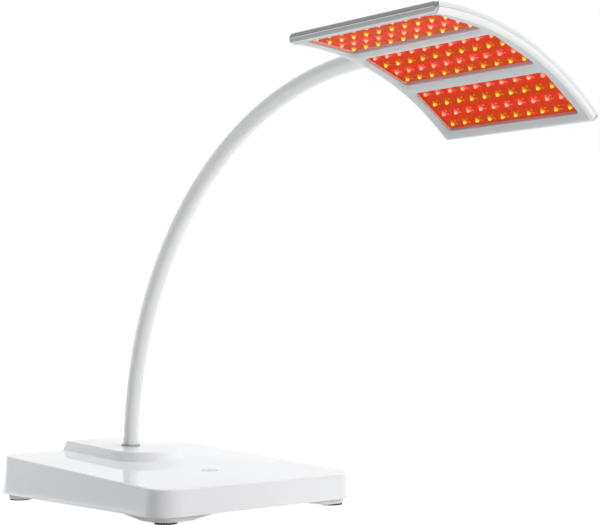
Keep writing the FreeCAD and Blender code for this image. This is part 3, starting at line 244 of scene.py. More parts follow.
bm = bmesh.new()
for foot in FOOT_PLACES:
    pad = disc(bm, foot, PAD_RADIUS, 0.0, PAD_TOP)
    rim = [e for e in bm.edges if all(v in pad and v.co.z < PAD_TOP / 2 for v in e.verts)]
    bmesh.ops.bevel(bm, geom=rim, offset=PAD_RIM, segments=3, profile=0.5, affect="EDGES", material=-1)
    disc(bm, foot, FLANGE_RADIUS, PAD_TOP, FLANGE_TOP)
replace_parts(new_piece("foot_pads", bm, moulded_rubber, "base"), "rubber_feet")


# Screws and nuts: cold-headed steel, zinc plated, bright with a slightly blue cast
POLISH_LOW = 0.8
POLISH_HIGH = 1.25


def metal(name, code, roughness, grain_mm, stretch, depth_mm, metallic=1.0):
    """A metal finish: fine marks of the given width, stretched along the way that it was worked."""
    material, tree, output = new_material(name)
    place = add_node(tree, "ShaderNodeTexCoord")
    turned = add_node(tree, "ShaderNodeMapping", {"Vector": place.outputs["Object"], "Scale": stretch})
    marks = add_node(tree, "ShaderNodeTexNoise", {
        "Vector": turned.outputs[0], "Scale": 1000.0 / grain_mm, "Detail": 3.0})
    relief = add_node(tree, "ShaderNodeBump", {
        "Height": marks.outputs["Fac"], "Strength": 1.0, "Distance": depth_mm / 1000.0})
    polish = add_node(tree, "ShaderNodeMapRange", {
        "Value": marks.outputs["Fac"], "To Min": roughness * POLISH_LOW,
        "To Max": roughness * POLISH_HIGH})
    shader = add_node(tree, "ShaderNodeBsdfPrincipled", {
        "Base Color": colour(code), "Metallic": metallic, "Roughness": polish.outputs[0],
        "Normal": relief.outputs[0]})
    tree.links.new(shader.outputs[0], output.inputs["Surface"])
    return material


dress(["tray_screws", "ballast_screws", "socket_screws", "clamp_screws", "board_screws", "inlet_nut",
       "inlet_pin", "swivel_nut", "head_screws", "block_screws"],
      metal("bright_zinc_plate", "#C3C7CC", 0.30, 0.8, (1.0, 1.0, 1.0), 0.005))

# Ballast: a flat steel plate, laser cut and left with its dark mill scale
dress(["ballast_plate"], metal("mill_scale_steel", "#55585C", 0.48, 2.5, (1.0, 1.0, 1.0), 0.02))

# Arm socket and swivel block: zinc alloy castings with a dull, finely pitted skin
dress(["arm_socket", "swivel_block"],
      metal("cast_zinc_alloy", "#9B9FA4", 0.42, 0.9, (1.0, 1.0, 1.0), 0.02))

# Control board: glass-epoxy with a green solder mask, through which the copper tracks show paler
TRACKS_MM = 12.0
board_finish, tree, output = new_material("green_solder_mask")
place = add_node(tree, "ShaderNodeTexCoord")
tracks = add_node(tree, "ShaderNodeTexBrick", {
    "Vector": place.outputs["Object"], "Color1": colour("#1E5A38"), "Color2": colour("#1B5233"),
    "Mortar": colour("#2F7B50"), "Scale": 1000.0 / TRACKS_MM, "Mortar Size": 0.05, "Brick Width": 0.9,
    "Row Height": 0.25}, offset=0.37)
mask = add_node(tree, "ShaderNodeBsdfPrincipled", {"Base Color": tracks.outputs["Color"], "Roughness": 0.3})
tree.links.new(mask.outputs[0], output.inputs["Surface"])
dress(["control_board"], board_finish)

# Chips, capacitors, plug sockets, switch and power inlet: black glass-filled nylon and epoxy
dress(["board_components", "tactile_switch", "power_inlet"],
      moulded("black_nylon", "#202124", "#191A1C", 0.38, 0.6, 0.01))

# Leads: extruded PVC jackets, pale grey and slightly soft to the eye
dress(["base_lead", "inlet_lead", "head_lead", "arm_lead_foot", "arm_lead_lower", "arm_lead_middle",
       "arm_lead_upper"], moulded("extruded_pvc", "#B9BCBF", "#AEB1B4", 0.5, 1.2, 0.01))

# Top cover: white ABS from a polished tool. It is glossy enough to mirror the arm and the platform,
# with the slow ripple that a thin moulding has.
dress(["base_top_cover", "power_button"],
      moulded("gloss_white_abs", "#F1F2F4", "#EEF0F3", 0.035, 45.0, 0.008))

# Button marks: a thin grey ring printed round the button's edge and a standby symbol at its middle.
# The ink stands a hair above the cap.
BUTTON_MIDDLE = (0.0, -0.068, 0.0392)
COVER_SLOPE = 2.83
PRINT_HEIGHT = 0.00004
RING_OUTER = 0.0081
RING_WIDTH = 0.0009
SYMBOL_RADIUS = 0.0026
SYMBOL_LINE = 0.0007
SYMBOL_OPENING = 80.0
ARC_STEPS = 48
on_button = (Matrix.Translation(BUTTON_MIDDLE) @ Matrix.Rotation(math.radians(COVER_SLOPE), 4, "X")
             @ Matrix.Translation((0.0, 0.0, PRINT_HEIGHT)))


def printed_arc(bm, outer, width, opening):
    """A flat printed arc round the button's middle, open towards the arm by the given angle."""
    sweep = math.radians(360.0 - opening)
    start = math.radians(90.0 + opening / 2)
    way = Vector((math.cos(start), math.sin(start), 0.0))
    line = bm.edges.new((bm.verts.new(way * outer), bm.verts.new(way * (outer - width))))
    bmesh.ops.spin(bm, geom=[line], cent=(0, 0, 0), axis=(0, 0, 1), angle=sweep, steps=ARC_STEPS,
                   use_merge=not opening)


bm = bmesh.new()
printed_arc(bm, RING_OUTER, RING_WIDTH, 0.0)
printed_arc(bm, SYMBOL_RADIUS, SYMBOL_LINE, SYMBOL_OPENING)
stroke = bmesh.ops.create_grid(bm, x_segments=1, y_segments=1, size=0.5)["verts"]
bmesh.ops.transform(bm, verts=stroke, matrix=Matrix.Translation((0.0, SYMBOL_RADIUS - SYMBOL_LINE, 0.0))
                    @ Matrix.Diagonal((SYMBOL_LINE, SYMBOL_RADIUS, 1.0, 1.0)))
bmesh.ops.recalc_face_normals(bm, faces=bm.faces)
for face in bm.faces:
    if face.normal.z < 0:
        face.normal_flip()
bmesh.ops.solidify(bm, geom=bm.faces[:], thickness=PRINT_HEIGHT)
bmesh.ops.transform(bm, verts=bm.verts, matrix=on_button)
new_piece("button_marks", bm, moulded("grey_print_ink", "#5F656A", "#565C61", 0.5, 0.5, 0.001), "button")

# Collar: a thin ring of satin grey ABS round the arm's foot
dress(["arm_collar"], moulded("satin_grey_abs", "#A9B2B4", "#A2ABAD", 0.4, 0.8, 0.01))

# Gooseneck cores: wound steel wire, bright and lightly oiled, all of it under the sleeves
dress(["gooseneck_core_foot", "gooseneck_core_lower", "gooseneck_core_middle", "gooseneck_core_upper"],
      metal("wound_spring_steel", "#8D9095", 0.35, 1.5, (1.0, 6.0, 6.0), 0.05))

# Arm sleeve: a soft silicone tube drawn over the gooseneck, in three lengths that meet end to end
# along the arm's arc.
SLEEVE_RADIUS = 0.00875
BEND_RADIUS = 0.4075
FOOT_ANGLE = 2.83
FOOT_TOP = (0.0805, 0.05704)
FOOT_IN_SOCKET = 0.024
RUN_TO_HEAD = 0.0275
HEAD_ANGLE = 90.0
LENGTH_ENDS = (FOOT_ANGLE, 24.0, 52.0, HEAD_ANGLE)
BENDS = (10.0, 38.0, 66.0)
SIDES = 48
STEPS_IN_DEGREE = 2
ARC_Y = FOOT_TOP[0] - BEND_RADIUS * math.cos(math.radians(FOOT_ANGLE))
ARC_Z = FOOT_TOP[1] - BEND_RADIUS * math.sin(math.radians(FOOT_ANGLE))
silicone = moulded("soft_silicone", "#F3F5F4", "#EFF1F0", 0.5, 2.5, 0.004, ior=1.42, sheen=0.15)


def on_arc(angle):
    """The point of the arm's centre line at an angle in degrees."""
    turn = math.radians(angle)
    return Vector((0.0, ARC_Y + BEND_RADIUS * math.cos(turn), ARC_Z + BEND_RADIUS * math.sin(turn)))


def pulled(bm, edges, move):
    """Extrude edges by a move, and give back the new edges."""
    grown = bmesh.ops.extrude_edge_only(bm, edges=edges)["geom"]
    bmesh.ops.translate(bm, verts=[g for g in grown if isinstance(g, bmesh.types.BMVert)], vec=move)
    return [g for g in grown if isinstance(g, bmesh.types.BMEdge)]


def sleeve(name, low, high, hidden):
    """A length of sleeve from one angle of the arc to another."""
    bm = bmesh.new()
    ring = bmesh.ops.create_circle(bm, segments=SIDES, radius=SLEEVE_RADIUS)["verts"]
    way = Vector((0.0, -math.sin(math.radians(low)), math.cos(math.radians(low))))
    below = FOOT_IN_SOCKET if low == FOOT_ANGLE else 0.0
    bmesh.ops.transform(bm, verts=ring, matrix=Matrix.Translation(on_arc(low) - way * below)
                        @ Matrix.Rotation(math.radians(low), 4, "X"))
    edges = bm.edges[:]
    if below:
        edges = pulled(bm, edges, way * below)
    swept = bmesh.ops.spin(bm, geom=edges, cent=(0.0, ARC_Y, ARC_Z), axis=(1.0, 0.0, 0.0),
                           angle=math.radians(high - low),
                           steps=round((high - low) * STEPS_IN_DEGREE))["geom_last"]
    if high == HEAD_ANGLE:
        pulled(bm, [g for g in swept if isinstance(g, bmesh.types.BMEdge)], (0.0, -RUN_TO_HEAD, 0.0))
    bmesh.ops.holes_fill(bm, edges=bm.edges)
    bmesh.ops.recalc_face_normals(bm, faces=bm.faces)
    for face in bm.faces:
        face.smooth = len(face.verts) == 4
        for edge in face.edges:
            edge.smooth = edge.smooth and face.smooth
    piece = new_piece(name, bm, silicone)
    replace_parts(piece, *hidden)
    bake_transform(piece)


for low, high, bend, name, bodies, hidden in zip(
    LENGTH_ENDS,
    LENGTH_ENDS[1:],
    BENDS,
    ("sleeve_lower_length", "sleeve_middle_length", "sleeve_upper_length"),
    (("base", "arm_lower"), ("arm_lower", "arm_middle"), ("arm_middle", "arm_upper")),
    (("arm_sleeve_foot", "arm_sleeve_lower"), ("arm_sleeve_middle",), ("arm_sleeve_upper",)),
):
    sleeve(name, low, high, hidden)

# Swivel: a turned steel spindle on the arm's end, with an acetal friction ring on each side of the block
dress(["swivel_spindle"], metal("turned_bright_steel", "#C9CBCE", 0.2, 0.5, (1.0, 0.05, 1.0), 0.004))
dress(["friction_rings"], moulded("natural_acetal", "#E4E1D6", "#DDDACE", 0.4, 0.8, 0.005))

# Rear shell and swivel hood: white ABS of the same polish as the base, very slightly greyer
dress(["head_rear_shell", "swivel_hood"],
      moulded("gloss_head_abs", "#E6E8EA", "#E3E5E8", 0.04, 45.0, 0.008))

# Front frame: white ABS. Its face turns down, away from the lamps, and is given a grey of painted
# shade that ends crisply where the two long edges turn round. The face dishes softly down to each
# window's flat, and a fine shadow gap parts the frame from the rear shell. It is shaded as one even
# curve, so that its dishes stay faint.
HEAD_AXIS = (0.0, -0.4340034, 0.4444184)
HEAD_ROLL = 20.65
ARC_BELOW_AXIS = 0.2953
BOARD_STEP = 14.419
WINDOWS = {"left": -BOARD_STEP, "centre": 0.0, "right": BOARD_STEP}
WINDOW_WIDTH = 0.057
WINDOW_LENGTH = 0.159
WINDOW_CORNER = 0.005
HALF_ANGLE = 21.7
HALF_LENGTH = 0.0923
FACE_RADIUS = 0.2749
OPENING_RADIUS = 0.2756
SKIN = 0.0014
EDGE_ROUND = 0.0042
EDGE_STEPS = 6
WALL_TOP = 0.2799
PAINTED_SHADE_EDGE = 0.0003
DISH_RINGS = (0.0, 0.0008, 0.0016, 0.0024, 0.0032, 0.0042, 0.0055)
BEND_STEP = 0.0025
POST_RADIUS = 0.0028
POST_REACH = (0.2757, 0.2829)
POST_ALONG = 0.0859
POST_PLACES = [(angle, side * POST_ALONG) for angle in WINDOWS.values() for side in (-1, 1)]
POST_PLACES += [(-BOARD_STEP / 2, 0.0), (BOARD_STEP / 2, 0.0)]
FACE_SPECKLE_MM = 0.7
SHARP_ANGLE = 35.0
TOUCH = 1e-6
roll = Matrix.Rotation(math.radians(HEAD_ROLL), 4, "Y")
arc_centre = Vector(HEAD_AXIS) + roll @ Vector((0.0, 0.0, -ARC_BELOW_AXIS))
frame_finish, tree, output = new_material("white_abs_with_painted_face_shade")
place = add_node(tree, "ShaderNodeTexCoord")
middle = add_node(tree, "ShaderNodeVectorMath", {0: place.outputs["Object"], 1: arc_centre},
                  operation="SUBTRACT")
parts = add_node(tree, "ShaderNodeSeparateXYZ", {0: middle.outputs[0]})
beside = add_node(tree, "ShaderNodeMath", {0: parts.outputs[1]}, operation="ABSOLUTE")
beyond = add_node(tree, "ShaderNodeMath", {0: beside.outputs[0], 1: HALF_LENGTH - EDGE_ROUND + PAINTED_SHADE_EDGE},
                  operation="GREATER_THAN")
speckle = add_node(tree, "ShaderNodeTexNoise", {
    "Vector": place.outputs["Object"], "Scale": 1000.0 / FACE_SPECKLE_MM})
# The face's grey is painted shade with a fine speckle; past the turn of each long edge the frame keeps its
# own white.
painted_face_grey = add_node(tree, "ShaderNodeMix", {
    0: speckle.outputs["Fac"], 6: colour("#C9CBCC"), 7: colour("#D1D3D4")}, data_type="RGBA")
tone = add_node(tree, "ShaderNodeMix", {0: beyond.outputs[0], 6: painted_face_grey.outputs[2], 7: colour("#F4F5F6")},
                data_type="RGBA")
relief = add_node(tree, "ShaderNodeBump", {
    "Height": speckle.outputs["Fac"], "Strength": 1.0, "Distance": 0.004 / 1000.0})
shader = add_node(tree, "ShaderNodeBsdfPrincipled", {
    "Base Color": tone.outputs[2], "Roughness": 0.35, "Specular IOR Level": 0.25,
    "Normal": relief.outputs[0]})
tree.links.new(shader.outputs[0], output.inputs["Surface"])


def window_frame(angle):
    """A window's own frame: x across it, y along it and z away from the face, from the arc's centre."""
    return Matrix.Translation(arc_centre) @ Matrix.Rotation(math.radians(HEAD_ROLL + angle), 4, "Y")


def window_outline(bm, wider, longer, height):
    """A window's rounded outline, grown by the given margins, as one face at a height in its frame."""
    others = set(bm.faces)
    made = bmesh.ops.create_grid(bm, x_segments=1, y_segments=1, size=0.5)["verts"]
    bmesh.ops.transform(bm, verts=made, matrix=Matrix.Translation((0.0, 0.0, height)) @ Matrix.Diagonal(
        (WINDOW_WIDTH + 2 * wider, WINDOW_LENGTH + 2 * longer, 1.0, 1.0)))
    bmesh.ops.bevel(bm, geom=made, offset=WINDOW_CORNER + wider, offset_type="OFFSET", segments=8,
                    profile=0.5, affect="VERTICES", material=-1)
    return next(f for f in bm.faces if f not in others)


def face_radius(turn, along):
    """How far the face stands from the arc's centre, at an angle in radians and a place along the head.
    Round each window it goes smoothly from the arc down to the window's flat."""
    radius = FACE_RADIUS
    for angle in WINDOWS.values():
        lean = turn - math.radians(angle)
        across = abs(OPENING_RADIUS * math.tan(lean)) - WINDOW_WIDTH / 2 + WINDOW_CORNER
        beside = abs(along) - WINDOW_LENGTH / 2 + WINDOW_CORNER
        away = math.hypot(max(across, 0.0), max(beside, 0.0)) - WINDOW_CORNER
        away += min(max(across, beside), 0.0)
        part = min(max(away / DISH_RINGS[-1], 0.0), 1.0)
        if part < 1.0:
            flat = OPENING_RADIUS / math.cos(lean)
            radius = flat + (FACE_RADIUS - flat) * part * part * (3 - 2 * part)
    return radius


# The face is laid out flat, with the angle round the arc as x, and is bent once it is whole.
bm = bmesh.new()
half_arc = math.radians(HALF_ANGLE) * FACE_RADIUS
half_flat = HALF_LENGTH - EDGE_ROUND
openings = []
for angle in WINDOWS.values():
    rings = []
    for grown in DISH_RINGS:
        sheet = window_outline(bm, grown, grown, 0.0)
        for vert in sheet.verts:
            vert.co.x = (math.radians(angle) + math.atan(vert.co.x / OPENING_RADIUS)) * FACE_RADIUS
        rings.append(sheet.edges[:])
        bmesh.ops.delete(bm, geom=[sheet], context="FACES_ONLY")
    for inner, outer in zip(rings, rings[1:]):
        bmesh.ops.bridge_loops(bm, edges=inner + outer)
    openings += rings[-1]
plate = bmesh.ops.create_grid(bm, x_segments=1, y_segments=1, size=0.5)["verts"]
bmesh.ops.transform(bm, verts=plate, matrix=Matrix.Diagonal((2 * half_arc, 2 * half_flat, 1.0, 1.0)))
border = plate[0].link_faces[0].edges[:]
bmesh.ops.delete(bm, geom=plate[0].link_faces[:], context="FACES_ONLY")
bmesh.ops.triangle_fill(bm, use_beauty=True, edges=openings + border, normal=(0.0, 0.0, 1.0))
cuts = round(2 * half_arc / BEND_STEP)
for cut in range(1, cuts):
    bmesh.ops.bisect_plane(bm, geom=bm.verts[:] + bm.edges[:] + bm.faces[:], dist=1e-7,
                           plane_co=(-half_arc + 2 * half_arc * cut / cuts, 0.0, 0.0),
                           plane_no=(1.0, 0.0, 0.0))
for vert in bm.verts:
    vert.co.z = face_radius(vert.co.x / FACE_RADIUS, vert.co.y)
for side in (-1, 1):
    edges = [e for e in bm.edges if all(abs(v.co.y - side * half_flat) < TOUCH for v in e.verts)]
    for step in range(1, EDGE_STEPS + 2):
        turn = math.radians(90.0 * min(step, EDGE_STEPS) / EDGE_STEPS)
        edges = pulled(bm, edges, (0.0, 0.0, 0.0))
        for vert in {v for e in edges for v in e.verts}:
            vert.co.y = side * (half_flat + EDGE_ROUND * math.sin(turn))
            vert.co.z = WALL_TOP if step > EDGE_STEPS else FACE_RADIUS + EDGE_ROUND * (1 - math.cos(turn))
    ends = [e for e in bm.edges if all(abs(v.co.x - side * half_arc) < TOUCH for v in e.verts)]
    for vert in {v for e in pulled(bm, ends, (0.0, 0.0, 0.0)) for v in e.verts}:
        vert.co.z = WALL_TOP
bmesh.ops.remove_doubles(bm, verts=bm.verts, dist=TOUCH)
bmesh.ops.dissolve_degenerate(bm, dist=1e-7, edges=bm.edges)
bmesh.ops.recalc_face_normals(bm, faces=bm.faces)
if sum(f.normal.z * f.calc_area() for f in bm.faces) > 0:
    bmesh.ops.reverse_faces(bm, faces=bm.faces)
bmesh.ops.solidify(bm, geom=bm.faces[:], thickness=SKIN)
for vert in bm.verts:
    turn = vert.co.x / FACE_RADIUS
    vert.co = Vector((vert.co.z * math.sin(turn), vert.co.y, vert.co.z * math.cos(turn)))
for angle, along in POST_PLACES:
    post = disc(bm, (0.0, along), POST_RADIUS, *POST_REACH, sides=24)
    bmesh.ops.rotate(bm, verts=post, cent=(0.0, 0.0, 0.0),
                     matrix=Matrix.Rotation(math.radians(angle), 3, "Y"))
bmesh.ops.recalc_face_normals(bm, faces=bm.faces)
for face in bm.faces:
    face.smooth = True
piece = new_piece("front_frame", bm, frame_finish, "head")
piece.data.set_sharp_from_angle(angle=math.radians(SHARP_ANGLE))
normals = []
for face in piece.data.polygons:
    for corner in face.vertices:
        x, y, z = piece.data.vertices[corner].co
        on_face = abs(math.hypot(x, z) - face_radius(math.atan2(x, z), y)) < 1e-5
        even = on_face and abs(y) < half_flat + TOUCH and face.normal.z < -0.5
        normals.append((-x, 0.0, -z) if even else (0.0, 0.0, 0.0))
piece.data.transform(window_frame(0.0))
turned = window_frame(0.0).to_3x3()
piece.data.normals_split_custom_set([(turned @ Vector(n)).normalized() for n in normals])
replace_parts(piece, "head_front_frame")

# End trims: extruded aluminium, satin anodised a dark silver with the die's fine lines along it. Its
# bands of lighter and darker grey across its height are painted light and shade, and the light band
# along its edge next to the face is a painted highlight. A polished bead runs along the groove of each.
TRIM_LOW = 0.2753
TRIM_HIGH = 0.2846
# Grey by height across the trim: painted light and shade, lightest at the edge next to the face as a
# painted highlight.
TRIM_PAINTED_LIGHT_BANDS = ((0.0, "#BFC1C2"), (0.1, "#AEB0B1"), (0.48, "#A3A5A6"), (0.58, "#8C8E90"), (1.0, "#9A9C9E"))
BEAD_RADIUS = 0.00042
BEAD_HALF_LENGTH = 0.0902
BEAD_OUT = 0.00255
BEAD_HEIGHT = 0.2804
DIE_LINE_MM = 0.6
trim_finish, tree, output = new_material("satin_anodised_aluminium")
place = add_node(tree, "ShaderNodeTexCoord")
middle = add_node(tree, "ShaderNodeVectorMath", {0: place.outputs["Object"], 1: arc_centre},
                  operation="SUBTRACT")
across = add_node(tree, "ShaderNodeVectorMath", {0: middle.outputs[0], 1: (1.0, 0.0, 1.0)},
                  operation="MULTIPLY")
height = add_node(tree, "ShaderNodeVectorMath", {0: across.outputs[0]}, operation="LENGTH")
part = add_node(tree, "ShaderNodeMapRange", {"Value": height.outputs["Value"], "From Min": TRIM_LOW,
                                             "From Max": TRIM_HIGH})
# Painted light and shade in bands across the trim's height.
trim_shade_bands = add_node(tree, "ShaderNodeValToRGB", {0: part.outputs[0]})
trim_shade_bands.color_ramp.elements.remove(trim_shade_bands.color_ramp.elements[1])
for number, (position, code) in enumerate(TRIM_PAINTED_LIGHT_BANDS):
    stop = trim_shade_bands.color_ramp.elements.new(position) if number else trim_shade_bands.color_ramp.elements[0]
    stop.color = colour(code)
drawn = add_node(tree, "ShaderNodeMapping", {"Vector": place.outputs["Object"], "Scale": (1.0, 0.02, 1.0)})
lines = add_node(tree, "ShaderNodeTexNoise", {
    "Vector": drawn.outputs[0], "Scale": 1000.0 / DIE_LINE_MM, "Detail": 3.0})
relief = add_node(tree, "ShaderNodeBump", {
    "Height": lines.outputs["Fac"], "Strength": 1.0, "Distance": 0.01 / 1000.0})
shader = add_node(tree, "ShaderNodeBsdfPrincipled", {
    "Base Color": trim_shade_bands.outputs[0], "Metallic": 0.6, "Roughness": 0.38, "Normal": relief.outputs[0]})
tree.links.new(shader.outputs[0], output.inputs["Surface"])
dress(["end_trim_left", "end_trim_right"], trim_finish)
bm = bmesh.new()
for side in (-1, 1):
    bead = disc(bm, (0.0, 0.0), BEAD_RADIUS, -BEAD_HALF_LENGTH, BEAD_HALF_LENGTH, sides=16)
    bmesh.ops.transform(bm, verts=bead, matrix=window_frame(side * HALF_ANGLE) @ Matrix.Translation(
        (side * BEAD_OUT, 0.0, BEAD_HEIGHT)) @ Matrix.Rotation(math.radians(90.0), 4, "X"))
polished = metal("polished_aluminium", "#E2E3E4", 0.25, 0.5, (1.0, 0.05, 1.0), 0.002, metallic=0.7)
new_piece("trim_beads", bm, polished, "head")

# Lit boards: white-coated aluminium boards that glow red all over, a painted light that stands for the
# diodes' light on the coat. Round each diode a painted glow fades into the field, browner round the
# amber ones, and by each diode lie three short painted glints. Each board glows at its own strength,
# painted for the way it is turned.
ROW_PITCH = 0.0146
DIODE_PITCH = 0.016
ROWS = 4
DIODES_IN_ROW = 10
GLOW_START = 0.0018
GLOW_END = 0.0078
GLOW_TURN = 0.28
# Painted glow round each diode, from near to far, for the red rows and the amber rows.
GLOW_RED = ("#FF8A70", "#E6402C", "#DA3A22")
GLOW_AMBER = ("#F0901E", "#BE4A18", "#CE4220")
# Three short painted glints by each diode.
GLINTS = ((0.0013, -0.0043), (-0.0032, -0.0048), (-0.0029, -0.0003))
GLINT_LONG = 0.0019
GLINT_WIDE = 0.0014
CLOUD_MM = 7.0
# How strongly each board's painted light glows, set for the way each board is turned.
BOARD_GLOW = {"left": 1.0, "centre": 0.93, "right": 0.9}


def lit_board(name, angle):
    """The painted glow of one board's coat, laid out on that board's own diodes."""
    material, tree, output = new_material("lit_coat_" + name)
    place = add_node(tree, "ShaderNodeTexCoord")
    laid = add_node(tree, "ShaderNodeMapping", {
        "Vector": place.outputs["Object"], "Location": arc_centre,
        "Rotation": (0.0, math.radians(HEAD_ROLL + angle), 0.0)}, vector_type="TEXTURE")
    counted = add_node(tree, "ShaderNodeVectorMath", {
        0: laid.outputs[0], 1: (1.0 / ROW_PITCH, 1.0 / DIODE_PITCH, 0.0),
        2: (ROWS / 2, DIODES_IN_ROW / 2, 0.0)}, operation="MULTIPLY_ADD")
    within = add_node(tree, "ShaderNodeVectorMath", {0: counted.outputs[0]}, operation="FRACTION")
    offset = add_node(tree, "ShaderNodeVectorMath", {
        0: within.outputs[0], 1: (ROW_PITCH, DIODE_PITCH, 0.0),
        2: (-ROW_PITCH / 2, -DIODE_PITCH / 2, 0.0)}, operation="MULTIPLY_ADD")
    reach = add_node(tree, "ShaderNodeVectorMath", {0: offset.outputs[0]}, operation="LENGTH")
    row = add_node(tree, "ShaderNodeSeparateXYZ", {0: counted.outputs[0]})
    pair = add_node(tree, "ShaderNodeMath", {0: row.outputs[0], 1: 2.0}, operation="MODULO")
    amber = add_node(tree, "ShaderNodeMath", {0: pair.outputs[0], 1: 1.0}, operation="GREATER_THAN")
    # A painted glow round each diode, fading into the field.
    near = add_node(tree, "ShaderNodeMapRange", {
        "Value": reach.outputs["Value"], "From Min": GLOW_START, "From Max": GLOW_END})
    round_red = add_node(tree, "ShaderNodeValToRGB", {0: near.outputs[0]})
    round_amber = add_node(tree, "ShaderNodeValToRGB", {0: near.outputs[0]})
    for ramp, codes in ((round_red, GLOW_RED), (round_amber, GLOW_AMBER)):
        ramp.color_ramp.elements.new(GLOW_TURN)
        for stop, code in zip(ramp.color_ramp.elements, codes):
            stop.color = colour(code)
    field = add_node(tree, "ShaderNodeMix", {0: amber.outputs[0]}, data_type="RGBA")
    tree.links.new(round_red.outputs[0], field.inputs[6])
    tree.links.new(round_amber.outputs[0], field.inputs[7])
    # The painted glow is darker and browner in soft patches.
    cloud = add_node(tree, "ShaderNodeTexNoise", {
        "Vector": place.outputs["Object"], "Scale": 1000.0 / CLOUD_MM})
    uneven = add_node(tree, "ShaderNodeMapRange", {
        "Value": cloud.outputs["Fac"], "From Min": 0.35, "From Max": 0.75, "To Max": 0.5})
    coat = add_node(tree, "ShaderNodeMix", {
        0: uneven.outputs[0], 6: field.outputs[2], 7: colour("#B83E1C")}, data_type="RGBA")
    # The painted glints are pink by the red diodes and orange by the amber ones.
    glint = add_node(tree, "ShaderNodeMix", {
        0: amber.outputs[0], 6: colour("#FF8672"), 7: colour("#F99038")}, data_type="RGBA")
    lit = coat.outputs[2]
    for across, along in GLINTS:
        spot = Vector((across, along, 0.0))
        way = spot.normalized()
        ahead = add_node(tree, "ShaderNodeVectorMath", {0: offset.outputs[0], 1: way / GLINT_LONG},
                         operation="DOT_PRODUCT")
        aside = add_node(tree, "ShaderNodeVectorMath", {
            0: offset.outputs[0], 1: Vector((-way.y, way.x, 0.0)) / GLINT_WIDE}, operation="DOT_PRODUCT")
        past = add_node(tree, "ShaderNodeMath", {0: ahead.outputs["Value"], 1: spot.length / GLINT_LONG},
                        operation="SUBTRACT")
        spread = add_node(tree, "ShaderNodeCombineXYZ", {0: past.outputs[0], 1: aside.outputs["Value"]})
        faded = add_node(tree, "ShaderNodeVectorMath", {0: spread.outputs[0]}, operation="LENGTH")
        strength = add_node(tree, "ShaderNodeMapRange", {
            "Value": faded.outputs["Value"], "To Min": 1.0, "To Max": 0.0})
        struck = add_node(tree, "ShaderNodeMix", {
            0: strength.outputs[0], 6: lit, 7: glint.outputs[2]}, data_type="RGBA")
        lit = struck.outputs[2]
    shader = add_node(tree, "ShaderNodeBsdfPrincipled", {
        "Base Color": colour("#4A0F0A"), "Roughness": 0.6, "Specular IOR Level": 0.0,
        "Emission Color": lit, "Emission Strength": BOARD_GLOW[name]})
    tree.links.new(shader.outputs[0], output.inputs["Surface"])
    return material


for name, angle in WINDOWS.items():
    dress(["led_board_" + name], lit_board(name, angle))

# Diodes: domed epoxy lenses that stand on the boards in four rows, rows of red and amber by turns.
# Lit, each is brightest at its crown and deep coloured round its foot.
BOARD_RADIUS = 0.2796
DIODE_RADIUS = 0.002
DIODE_HEIGHT = 0.0031
DOME = ((1.0, 0.0), (1.0, 0.12), (0.9, 0.38), (0.72, 0.64), (0.48, 0.84), (0.24, 0.96), (0.0, 1.0))
DOME_SIDES = 14
MIDDLE_AT = 0.22
CROWN_AT = 0.58


def lit_epoxy(name, crown, middle, foot):
    """Clear epoxy lit from inside, by how far a point stands from the dome's middle and foot."""
    material, tree, output = new_material(name)
    spot = add_node(tree, "ShaderNodeUVMap", uv_map="dome")
    parts = add_node(tree, "ShaderNodeSeparateXYZ", {0: spot.outputs[0]})
    ramp = add_node(tree, "ShaderNodeValToRGB", {0: parts.outputs[1]})
    ramp.color_ramp.elements[0].color = colour(foot)
    ramp.color_ramp.elements[1].color = colour(crown)
    ramp.color_ramp.elements[1].position = CROWN_AT
    ramp.color_ramp.elements.new(MIDDLE_AT).color = colour(middle)
    shader = add_node(tree, "ShaderNodeBsdfPrincipled", {
        "Base Color": colour("#301008"), "Roughness": 0.2, "Emission Color": ramp.outputs[0],
        "Emission Strength": 1.0})
    tree.links.new(shader.outputs[0], output.inputs["Surface"])
    return material


def diodes(name, rows, material, hidden):
    """All the diodes of one colour, each a dome on its board."""
    dome = bmesh.new()
    profile = [dome.verts.new((DIODE_RADIUS * out, 0.0, -DIODE_HEIGHT * up)) for out, up in DOME]
    for low, high in zip(profile, profile[1:]):
        dome.edges.new((low, high))
    bmesh.ops.spin(dome, geom=dome.edges[:], cent=(0, 0, 0), axis=(0, 0, 1), angle=math.tau,
                   steps=DOME_SIDES, use_merge=True)
    bmesh.ops.remove_doubles(dome, verts=dome.verts, dist=TOUCH)
    bmesh.ops.holes_fill(dome, edges=dome.edges)
    bmesh.ops.recalc_face_normals(dome, faces=dome.faces)
    layer = dome.loops.layers.uv.new("dome")
    for face in dome.faces:
        face.smooth = len(face.verts) < 5
        for loop in face.loops:
            x, y, z = loop.vert.co
            loop[layer].uv = (math.hypot(x, y) / DIODE_RADIUS, -z / DIODE_HEIGHT)
    single = bpy.data.meshes.new("diode")
    dome.to_mesh(single)
    dome.free()
    bm = bmesh.new()
    for angle in WINDOWS.values():
        for row, column in itertools.product(rows, range(DIODES_IN_ROW)):
            start = len(bm.verts)
            bm.from_mesh(single)
            bm.verts.ensure_lookup_table()
            across = (row - (ROWS - 1) / 2) * ROW_PITCH
            along = (column - (DIODES_IN_ROW - 1) / 2) * DIODE_PITCH
            foot = Matrix.Translation((across, along, BOARD_RADIUS))
            bmesh.ops.transform(bm, matrix=window_frame(angle) @ foot, verts=bm.verts[start:])
    bpy.data.meshes.remove(single)
    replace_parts(new_piece(name, bm, material, "head"), hidden)


diodes("red_diodes", (0, 2), lit_epoxy("lit_red_epoxy", "#FFBE98", "#FF7F60", "#E83A2A"),
       "red_leds")
diodes("amber_diodes", (1, 3), lit_epoxy("lit_amber_epoxy", "#FFE14A", "#EE9C1A", "#B85A10"),
       "amber_leds")
